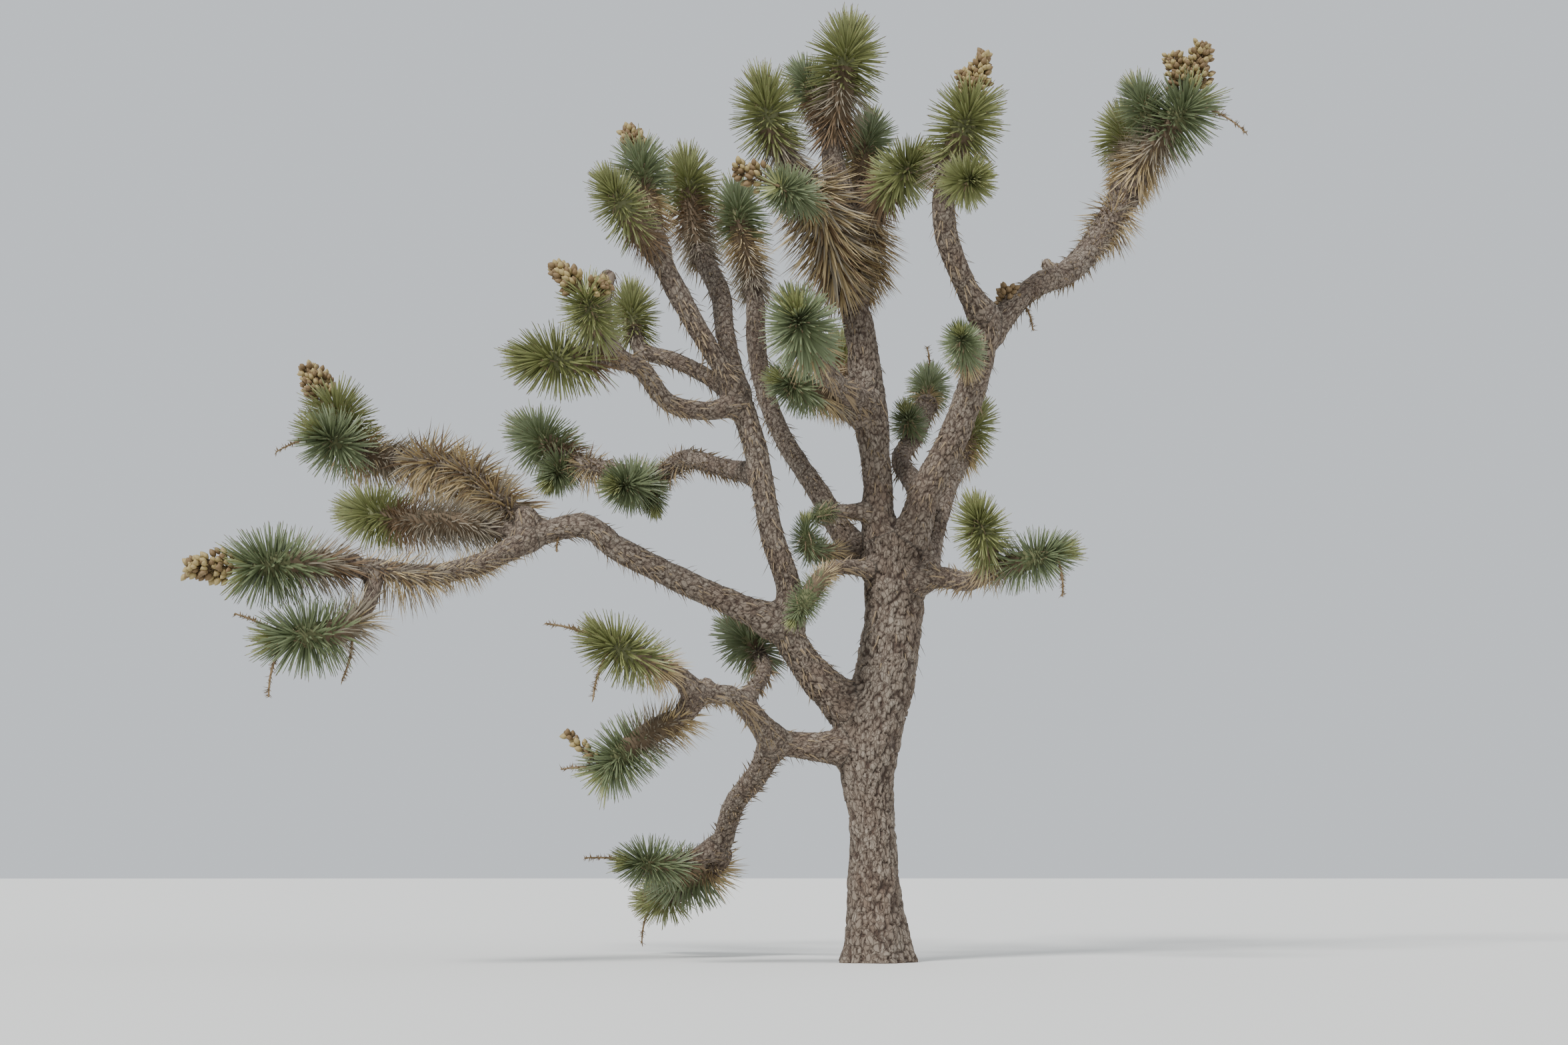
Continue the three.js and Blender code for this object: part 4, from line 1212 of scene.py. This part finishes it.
def make_bark():
    """The bark of all the limbs and bare shoots, in one piece for each group of them."""
    mesh = one_skin()
    points = read_vectors(mesh.vertices, "co")
    normals = read_vectors(mesh.vertex_normals, "vector")
    names = list(LIMB_LINES)
    lines = [line for _, _, line in STEMS]
    owner, gap, place = owners_of(points, lines)
    raised, open_bark, tone = relief(points, place, owner, gap, lines)
    shaped = points + normals * raised[:, None]
    mesh.vertices.foreach_set("co", shaped.astype(np.float32).ravel())
    angle, along, radius = place
    straightened = np.stack([np.cos(angle) * radius, np.sin(angle) * radius, along], axis=1)
    group_of = np.full(len(lines), len(BARK_PIECES))
    for number, members in enumerate(BARK_PIECES.values()):
        group_of[[names.index(member) for member in members]] = number
    # open_bark also marks where the bark material paints shade in the cracks.
    add_attribute(mesh, "open_bark", "FLOAT", "value", open_bark)
    add_attribute(mesh, "tone", "FLOAT", "value", tone)
    add_attribute(mesh, "bark_place", "FLOAT_VECTOR", "vector", straightened)
    add_attribute(mesh, "group", "FLOAT", "value", group_of[owner])
    cut_at_ground(mesh)
    mesh.shade_smooth()
    mesh.materials.clear()
    mesh.materials.append(bark_material())
    for number, (name, nodes) in enumerate([*BARK_PIECES.items(), ("shoot_bark", list(MASSES))]):
        part = mesh.copy()
        part.name = name
        keep_group(part, number)
        finish_piece(add_object(name, part), nodes)
    bpy.data.meshes.remove(mesh)


def make_hearts():
    """The stems inside the heads of leaves, thick with the feet of the leaves."""
    pile = Pile()
    for name, _, shoot, line in SHOOTS:
        leafy = line.distance_at(shoot["bare"])
        distances = steps_along(leafy, line.length, HEART_STEP)
        taper = blend(HEART_TIP, 1, smoothstep(0, BALL_DEPTH, line.length - distances))
        heart = HEART_SHARE * shoot["reach"] * MM * taper
        radii = np.maximum(line.radius(line.share_at(distances)) * taper, heart)
        grown = smoothstep(leafy - HEART_STEP, leafy + 2 * HEART_STEP, distances)
        radii = rounded_end(distances, line.length, radii * blend(HEART_FOOT, 1, grown))
        fresh = np.repeat(line.length - distances[:-1] < LIVE_DEPTH[0], 2 * HEART_SIDES)
        ends = np.repeat([False, True], HEART_SIDES)
        pile.add(*line.tube(distances, radii[:, None], HEART_SIDES), np.append(fresh, ends), name)
    pile.make("leaf_hearts", ["old_leaf_feet", "live_leaf_feet"], smooth=True)


def blades(roots, directions, ups, lengths, widths, droops, outline):
    """Dagger leaves, flat above and keeled below, that bend down by their droop. Gives their corners
    and triangles, and which triangles are at the tip."""
    count = len(roots)
    widths = np.broadcast_to(widths, count)
    across = unit(np.cross(directions, ups))
    over = np.cross(across, directions)
    rows = []
    for share, wide in outline[:-1]:
        middle = roots + directions * (lengths * share)[:, None]
        middle[:, 2] -= droops * lengths * share**2
        half = (widths * wide / 2)[:, None]
        thick = LEAF_THICKNESS * widths[:, None] * blend(NARROW_THICKNESS, 1, wide)
        rows.extend([middle + across * half, middle - across * half, middle - over * thick])
    tip = roots + directions * lengths[:, None]
    tip[:, 2] -= droops * lengths
    rows.append(tip)
    verts = np.stack(rows, axis=1).reshape(-1, 3)
    last = len(rows) - 1
    template = [(0, 1, 2), *ring_walls(last // 3, 3)[:, [0, 2, 1]]]
    template.extend((last - 3 + k, last, last - 3 + (k + 1) % 3) for k in range(3))
    at_tip = np.arange(len(template)) >= len(template) - 3
    return verts, copies(template, count, len(rows)), np.tile(at_tip, count)


def keeps_clear(roots, tips, own):
    """Whether each leaf keeps clear of every limb but the one that bears it."""
    low = np.minimum(roots, tips).min(0) - CLEAR_REACH
    high = np.maximum(roots, tips).max(0) + CLEAR_REACH
    close = np.all((STEM_POINTS > low) & (STEM_POINTS < high), axis=1) & (STEM_OWNERS != own)
    free = np.ones(len(roots), bool)
    if not close.any():
        return free
    for share in CLEAR_SHARES:
        squares = squared_gaps(roots + (tips - roots) * share, STEM_POINTS[close])
        free &= np.all(squares > (STEM_RADII[close] + CLEAR_GAP) ** 2, axis=1)
    return free


def leaves_at(line, distances, turns, leans, droop, lengths, rng):
    """Leaves that grow from a line at some distances along it. Their feet are inside the stem."""
    shares = line.share_at(distances)
    axes = line.tangent(shares)
    directions = leaning(axes, turns, leans)
    directions[:, 2] -= droop
    directions = unit(directions)
    steep = np.abs(np.sum(axes * directions, 1, keepdims=True)) > UPRIGHT
    ups = square_part(np.where(steep, square_to(axes), axes), directions)
    roll = np.radians(spread(rng, len(distances), ROLL_WOBBLE))[:, None]
    ups = ups * np.cos(roll) + np.cross(directions, ups) * np.sin(roll)
    return line.point(shares), directions, ups, lengths


def add_leaves(piles, kinds, grown, own, node, rng):
    """Puts leaves on the pile of their kind, but for any that would run into another limb."""
    roots, directions, ups, lengths = grown
    clear = keeps_clear(roots, roots + directions * lengths[:, None], own)
    feet = roots + directions * (lengths * LEAF_FOOT)[:, None]
    shown = lengths * (1 - LEAF_FOOT)
    for kind in sorted(set(kinds.tolist())):
        chosen = clear & (kinds == kind)
        if not chosen.any():
            continue
        dead = kind in DEAD_KINDS
        bend = rng.uniform(0, DEAD_BEND if dead else LIVE_BEND, chosen.sum())
        width = lengths[chosen] * (DEAD_LEAF_WIDTH if dead else LEAF_WIDTH)
        outline = DEAD_OUTLINE if dead else LIVE_OUTLINE
        piles[kind].add(*blades(feet[chosen], directions[chosen], ups[chosen], shown[chosen],
            width, bend, outline), node)


def kinds_by_depth(depths, live_kind, dead_kinds, rng):
    """The kind of each leaf: young at the tip, live round it, then dead and older."""
    fade = rng.uniform(0, 1, len(depths))
    kinds = np.where(depths > blend(*LIVE_DEPTH, fade), dead_kinds[0], live_kind)
    kinds = np.where(depths > blend(*STRAW_DEPTH, fade), dead_kinds[1], kinds)
    return np.where(depths < YOUNG_DEPTH, YOUNG_KIND, kinds)


def even_shares(count):
    return (np.arange(count) + 0.5) / count


def grow_heads(piles):
    for node, own, shoot, line in SHOOTS:
        rng = seeded(own)
        live_kind = rng.choice(LIVE_KINDS)
        dead_kinds = rng.permutation(DEAD_KINDS)
        reach = shoot["reach"] * MM * LEAF_GROWTH.get(node, 1)
        leafy = line.distance_at(shoot["bare"])
        ball = min(BALL_DEPTH, line.length - leafy)

        def grow_round(depth, leans, droop):
            """Leaves in golden-angle turns, each so deep below the tip."""
            count = len(depth)
            turns = np.arange(count) * GOLDEN_ANGLE + spread(rng, count, LEAN_WOBBLE)
            leans = leans + spread(rng, count, LEAN_WOBBLE)
            lengths = reach * (1 + spread(rng, count, LENGTH_WOBBLE))
            grown = leaves_at(line, line.length - depth, turns, leans, droop, lengths, rng)
            add_leaves(piles, kinds_by_depth(depth, live_kind, dead_kinds, rng), grown, own, node, rng)

        share = even_shares(BALL_LEAVES)
        first = CLUSTER_LEAN if "cluster" in shoot else BALL_LEAN[0]
        grow_round(share**BALL_CROWDING * ball, blend(first, BALL_LEAN[1], share), 0)
        if "cluster" not in shoot:
            grow_bud(piles, line, reach, own, node, rng)
        rest = line.length - ball - leafy
        share = even_shares(int(rest * SKIRT_PER_METRE))
        if len(share) > 0:
            grow_round(ball + rest * share, blend(*SKIRT_LEAN, share), SKIRT_DROOP)
        if "thatch" in shoot:
            grow_thatch(piles, line, shoot["thatch"], own, node)
    for name, limb in LIMBS.items():
        if "thatch" in limb:
            grow_thatch(piles, LIMB_LINES[name], limb["thatch"], name, name)
        if name in SHORT_THATCH:
            grow_thatch(piles, LIMB_LINES[name], SHORT_THATCH[name], name, name)


def grow_bud(piles, line, reach, own, node, rng):
    """The short young leaves at the tip of a shoot."""
    turns = np.arange(BUD_LEAVES) * GOLDEN_ANGLE
    leans = BUD_LEAN * np.sqrt(even_shares(BUD_LEAVES))
    lengths = reach * rng.uniform(*BUD_LENGTH, BUD_LEAVES)
    distances = np.full(BUD_LEAVES, line.length - BUD_DEPTH)
    grown = leaves_at(line, distances, turns, leans, 0, lengths, rng)
    add_leaves(piles, np.full(BUD_LEAVES, YOUNG_KIND), grown, own, node, rng)


def grow_thatch(piles, line, thatch, own, node):
    """Old leaves that cover a stretch of a limb in rounds, and lie back along it."""
    rng = seeded(own + " thatch")
    start, end, count, length = thatch
    number = np.arange(count * THATCH_FINER)
    shares = start + (end - start) * (number + rng.uniform(0, 1, len(number))) / len(number)
    rounds = max(round(line.length * (end - start) / ROUND_LENGTH), 1)
    phase = (shares - start) / (end - start) * rounds % 1
    leans = blend(*THATCH_LEAN, phase) + spread(rng, len(number), 2 * LEAN_WOBBLE)
    turns = number * GOLDEN_ANGLE
    below = -leaning(line.tangent(shares), turns, 90)[:, 2]
    lengths = length * MM * blend(THATCH_START.get(own, 1), 1, smoothstep(start, end, shares))
    lengths = lengths * (1 + spread(rng, len(number), LENGTH_WOBBLE)) * THATCH_GROWTH.get(own, 1)
    lengths = lengths * blend(*ROUND_LENGTHS, np.sin(np.pi * phase))
    lengths = lengths * (1 + HANG_LONGER * np.clip(below, 0, 1))
    distances = line.distance_at(shares)
    grown = leaves_at(line, distances, turns, leans, THATCH_DROOP, lengths, rng)
    kinds = rng.choice(DEAD_KINDS, len(number), p=THATCH_SHARES)
    add_leaves(piles, kinds, grown, own, node, rng)


def grow_fringe(pile):
    """Scraps of old leaves that lie back along the limbs and stubs, mostly below them."""
    stems = [(node, own, own, line) for node, own, line in STEMS]
    stubs = [(name, name, f"{name} stub", line) for name, line in stub_lines()]
    limbs = len(LIMB_LINES)
    for node, own, word, line in stems[:limbs] + stubs + stems[limbs:]:
        rng = seeded(word + " fringe")
        start = FRINGE_START if own == "trunk" else 0
        length = line.length * (1 - start)
        count = int(length * FRINGE_PER_METRE)
        shares = line.share_at(line.length * start + rng.uniform(0, length, count))
        turns = rng.uniform(0, 360, count)
        axes = line.tangent(shares)
        spokes = leaning(axes, turns, 90)
        below = np.clip(-spokes[:, 2], 0, 1)
        keep = rng.uniform(0, 1, count) < blend(FRINGE_ABOVE, 1, below)
        directions = leaning(axes, turns, rng.uniform(*FRINGE_LEAN, count))
        roots = line.point(shares) + spokes * (line.radius(shares) - FRINGE_SUNK)[:, None]
        lengths = rng.uniform(*FRINGE_LENGTH, count)
        keep &= keeps_clear(roots, roots + directions * lengths[:, None], own)
        widths = FRINGE_WIDTH * rng.uniform(*FRINGE_WIDTHS, keep.sum())
        droops = rng.uniform(0, FRINGE_DROOP, keep.sum())
        verts, faces, _ = blades(roots[keep], directions[keep], spokes[keep], lengths[keep],
            widths, droops, SCRAP_OUTLINE)
        pile.add(verts, faces, 0, node)


def capsules(middles, directions, lengths, widths):
    """Seed capsules: egg-shaped, with ribs. Gives their corners and triangles."""
    sides = CAPSULE_SIDES
    angles = np.arange(sides) * 2 * np.pi / sides
    ribs = 1 + RIB_DEPTH * np.cos(CAPSULE_RIBS * angles)
    spokes = spokes_round(directions, square_to(directions), sides)
    rings = []
    for share, wide in CAPSULE_OUTLINE:
        middle = middles + directions * (lengths * (share - 0.5))[:, None]
        reach = (widths * wide / 2)[:, None] * ribs
        rings.append(middle[:, None] + spokes * reach[..., None])
    verts = np.concatenate(rings, axis=1)
    top = (len(rings) - 1) * sides
    template = [*ring_walls(len(rings), sides), *((0, k + 1, k) for k in range(1, sides - 1))]
    template.extend((top, top + k, top + k + 1) for k in range(1, sides - 1))
    return verts.reshape(-1, 3), copies(template, len(middles), verts.shape[1])


def grow_cluster(fruit, twigs, root, cluster, own, node, tints=2):
    """A club of seed capsules, set round a stalk. Old ones have only the last tint."""
    rng = seeded(own + " cluster")
    length, bearing, climb, width = cluster
    axis = heading(bearing, climb)
    fill = CAPSULES_PER_VOLUME * CLUSTER_FILL.get(node, 1)
    count = max(int(length * MM * (width * MM) ** 2 * fill), LEAST_CAPSULES)
    share = even_shares(count)
    spine = root + axis * (length * MM * blend(*CLUSTER_SPAN, share))[:, None]
    leans = CAPSULE_LEAN + spread(rng, count, CAPSULE_WOBBLE)
    directions = leaning(np.tile(axis, (count, 1)), np.arange(count) * GOLDEN_ANGLE, leans)
    reach = width * MM / 2 * blend(*CLUSTER_TAPER, share) * rng.uniform(*TWIG_REACH, count)
    middles = spine + directions * reach[:, None]
    grown = rng.uniform(*CAPSULE_SIZES, count)
    verts, faces = capsules(middles, directions, CAPSULE_LENGTH * grown, CAPSULE_WIDTH * grown)
    fruit.add(verts, faces, np.repeat(rng.integers(2 - tints, 2, count), len(faces) // count), node)
    verts, faces, _ = blades(spine, directions, square_to(directions), reach, TWIG_WIDTH, 0,
        SCRAP_OUTLINE)
    twigs.add(verts, faces, 0, node)
    grow_stalk(twigs, root, [length, bearing, climb], own, node, 0)


def grow_stalk(twigs, root, stalk, own, node, bend=STALK_BEND):
    """An old flower stalk, with the snags of its side twigs."""
    rng = seeded(own + " stalk")
    length, bearing, climb = stalk
    axis = heading(bearing, climb)
    share = np.linspace(0, 1, STALK_RINGS)
    bow = leaning(axis[None], rng.uniform(*BOW_TURN, 1), 90)[0] * length * MM * bend
    points = root + axis * (length * MM * share)[:, None] + bow * (share**BOW_POWER)[:, None]
    tangents = unit(np.gradient(points, axis=0))
    radii = (blend(*STALK_WIDTH, share) / 2)[:, None]
    twigs.add(*closed_tube(points, tangents, square_to(tangents), radii, STALK_SIDES), 0, node)
    count = int(length * MM / SNAG_STEP)
    roots = read_off(rng.uniform(SNAG_START, 1, count), share, points)
    leans = rng.uniform(*SNAG_LEAN, count)
    directions = leaning(np.tile(axis, (count, 1)), np.arange(count) * GOLDEN_ANGLE, leans)
    verts, faces, _ = blades(roots, directions, square_to(directions),
        rng.uniform(*SNAG_LENGTH, count), SNAG_WIDTH, 0, SCRAP_OUTLINE)
    twigs.add(verts, faces, 0, node)


def grow_fruit(fruit, twigs):
    """The clubs of capsules and the old flower stalks of every mass, and those at forks."""
    for name, lines in SHOOT_LINES.items():
        for index, (shoot, line) in enumerate(zip(MASSES[name]["shoots"], lines)):
            own = f"{name} {index}"
            end = line.points[-1]
            if "cluster" in shoot:
                grow_cluster(fruit, twigs, end, shoot["cluster"], own, name)
                for number, lobe in enumerate(CLUSTER_LOBES.get(name, [])):
                    grow_cluster(fruit, twigs, end, lobe, f"{own} lobe {number}", name)
            if "stalk" in shoot:
                grow_stalk(twigs, end, shoot["stalk"], own, name)
        for number, (index, share, *stalk) in enumerate(SIDE_STALKS.get(name, [])):
            grow_stalk(twigs, lines[index].spot(share), stalk, f"{name} side {number}", name)
    for number, (name, share, cluster) in enumerate(OLD_CLUSTERS):
        root = LIMB_LINES[name].spot(share)
        grow_cluster(fruit, twigs, root, cluster, f"old {number}", name, tints=1)
    for number, (name, share, stalk) in enumerate(OLD_STALKS):
        grow_stalk(twigs, LIMB_LINES[name].spot(share), stalk, f"old {number}", name)


def srgb(red, green, blue):
    """A colour from its display values of 0 to 255."""
    channels = np.array([red, green, blue]) / 255
    linear = np.where(channels <= 0.04045, channels / 12.92, ((channels + 0.055) / 1.055) ** 2.4)
    return (*linear.tolist(), 1)


class Surface:
    """A material whose nodes are added one by one."""

    def __init__(self, name):
        self.material = bpy.data.materials.new(name)
        self.material.use_nodes = True
        self.tree = self.material.node_tree

    def fill(self, node, values):
        """Sets inputs of a node to numbers or colours, or joins them to outputs of other nodes."""
        for name, value in values.items():
            if isinstance(value, bpy.types.NodeSocket):
                self.tree.links.new(value, node.inputs[name])
            else:
                node.inputs[name].default_value = value

    def add(self, kind, output, values, **settings):
        """Adds a node and gives one of its outputs."""
        node = self.tree.nodes.new("ShaderNode" + kind)
        for name, value in settings.items():
            setattr(node, name, value)
        self.fill(node, values)
        return node.outputs[output]

    def finish(self, colour, roughness, normal):
        self.fill(self.tree.nodes["Principled BSDF"],
            {"Base Color": colour, "Roughness": roughness, "Normal": normal})
        return self.material

    def attribute(self, name, output="Fac"):
        return self.add("Attribute", output, {}, attribute_name=name)

    def noise(self, place, scale, detail, stretch=(1, 1, 1), output="Fac"):
        if stretch != (1, 1, 1):
            place = self.add("Mapping", "Vector", {"Vector": place, "Scale": stretch})
        return self.add("TexNoise", output, {"Vector": place, "Scale": scale, "Detail": detail})

    def calculate(self, operation, *values):
        return self.add("Math", "Value", dict(enumerate(values)), operation=operation)

    def levels(self, value, low, high):
        return self.add("MapRange", "Result", {"Value": value, "To Min": low, "To Max": high})

    def ramp(self, value, stops):
        colour = self.add("ValToRGB", "Color", {"Fac": value})
        elements = colour.node.color_ramp.elements
        while len(elements) < len(stops):
            elements.new(1)
        for element, (position, shade) in zip(elements, stops):
            element.position = position
            element.color = srgb(*shade)
        return colour

    def mix(self, share, first, second):
        values = {"Factor": share, "A": first, "B": second}
        return self.add("Mix", "Result", values, data_type="RGBA")

    def bump(self, height, strength, depth):
        values = {"Height": height, "Strength": strength, "Distance": depth}
        return self.add("Bump", "Normal", values)


def plain_material(name):
    """A material of one plain colour, with fine grain in its roughness and relief. It is made once."""
    if name in bpy.data.materials:
        return bpy.data.materials[name]
    colour, roughness, grain, bump = FINISHES[name]
    surface = Surface(name)
    noise = surface.noise(surface.add("TexCoord", "Object", {}), grain, GRAIN_DETAIL)
    return surface.finish(srgb(*colour), surface.levels(noise, *roughness),
        surface.bump(noise, bump, GRAIN_DEPTH))


def bark_material():
    """Weathered bark: grey-brown plates, each of its own tone, split by cracks and finer ones that are
    darkened with painted shade.
    The finer pattern lies in each limb's own coordinates, as if the limb were straight."""
    surface = Surface("bark")
    place = surface.attribute("bark_place", "Vector")
    mottle = surface.noise(place, *MOTTLE_NOISE)
    stains = surface.noise(place, *STAIN_NOISE)
    fibres = surface.noise(place, *FIBRE_NOISE)
    warp = surface.noise(place, *WARP_NOISE, output="Color")
    swayed = surface.add("VectorMath", "Vector", {0: warp, 1: FLAKE_SWAY, 2: place},
        operation="MULTIPLY_ADD")
    longer = surface.add("Mapping", "Vector", {"Vector": swayed, "Scale": FLAKE_STRETCH})
    flakes = {"Vector": longer, "Scale": FLAKE_SCALE}
    splits = surface.add("TexVoronoi", "Distance", flakes, feature="DISTANCE_TO_EDGE")
    flake_tint = surface.add("TexVoronoi", "Color", flakes)
    flake_tone = surface.add("SeparateColor", "Red", {"Color": flake_tint})
    whole = surface.add("MapRange", "Result", {"Value": splits, "From Max": SPLIT_WIDTH},
        interpolation_type="SMOOTHSTEP")
    colour = surface.ramp(surface.attribute("tone"), PLATE_COLOURS)
    colour = surface.mix(MOTTLE_SHARE, colour, surface.ramp(mottle, MOTTLE_COLOURS))
    colour = surface.mix(FLAKE_SHARE, colour, surface.ramp(flake_tone, FLAKE_COLOURS))
    colour = surface.mix(STAIN_SHARE, colour, surface.ramp(stains, STAIN_COLOURS))
    # Painted shade: the cracks and the fine splits are mixed towards the dark crack shade colours.
    fine = surface.calculate("MULTIPLY_ADD", whole, SPLIT_SHADE, 1 - SPLIT_SHADE)
    unshaded_share = surface.calculate("MULTIPLY", fine, surface.attribute("open_bark"))
    colour = surface.mix(unshaded_share, surface.ramp(fibres, CRACK_SHADE_COLOURS), colour)
    height = surface.calculate("MULTIPLY", whole, SPLIT_RELIEF)
    height = surface.calculate("ADD", height, mottle)
    height = surface.calculate("ADD", height, fibres)
    return surface.finish(colour, surface.levels(mottle, *BARK_ROUGHNESS),
        surface.bump(height, BARK_BUMP, BARK_BUMP_DEPTH))


def make_plant():
    make_bark()
    make_hearts()
    piles = {name: Pile() for name in [*LIVE_KINDS, YOUNG_KIND, *DEAD_KINDS]}
    grow_heads(piles)
    for name, pile in piles.items():
        pile.make(name, [name, name if name in DEAD_KINDS else "leaf_tip"])
    fringe = Pile()
    grow_fringe(fringe)
    fringe.make("old_leaf_scraps", ["old_leaf_scraps"])
    fruit = Pile()
    twigs = Pile()
    grow_fruit(fruit, twigs)
    fruit.make("seed_capsules", ["capsule_tan", "capsule_brown"], smooth=True)
    twigs.make("flower_stalks", ["old_stalk"])


def make_studio():
    """A pale floor, a pale surrounding, soft light and the camera."""
    turn = np.linspace(0, 2 * np.pi, FLOOR_SIDES, endpoint=False)
    rim = np.stack([np.cos(turn), np.sin(turn), np.zeros(FLOOR_SIDES)], axis=1) * FLOOR_RADIUS
    floor = make_object("floor", rim, np.arange(FLOOR_SIDES)[None], [plain_material("floor")])
    world = bpy.data.worlds.new("studio")
    world.use_nodes = True
    background = world.node_tree.nodes["Background"]
    background.inputs["Color"].default_value = srgb(*SKY_COLOUR)
    background.inputs["Strength"].default_value = SKY_STRENGTH
    bpy.context.scene.world = world
    for name, (strength, breadth, pitch, turn) in SUNS.items():
        light = bpy.data.lights.new(name, "SUN")
        light.energy = strength
        light.angle = math.radians(breadth)
        lamp = add_object(name, light)
        lamp.rotation_euler = (math.radians(pitch), 0, math.radians(turn))
    camera = bpy.data.cameras.new("camera")
    camera.lens = CAMERA_LENS
    camera.sensor_width = CAMERA_SENSOR
    camera.clip_end = 4 * FLOOR_RADIUS
    view = add_object("camera", camera)
    view.location = CAMERA_PLACE
    view.rotation_euler = (math.radians(CAMERA_PITCH), 0, 0)
    bpy.context.scene.camera = view


make_studio()
make_plant()
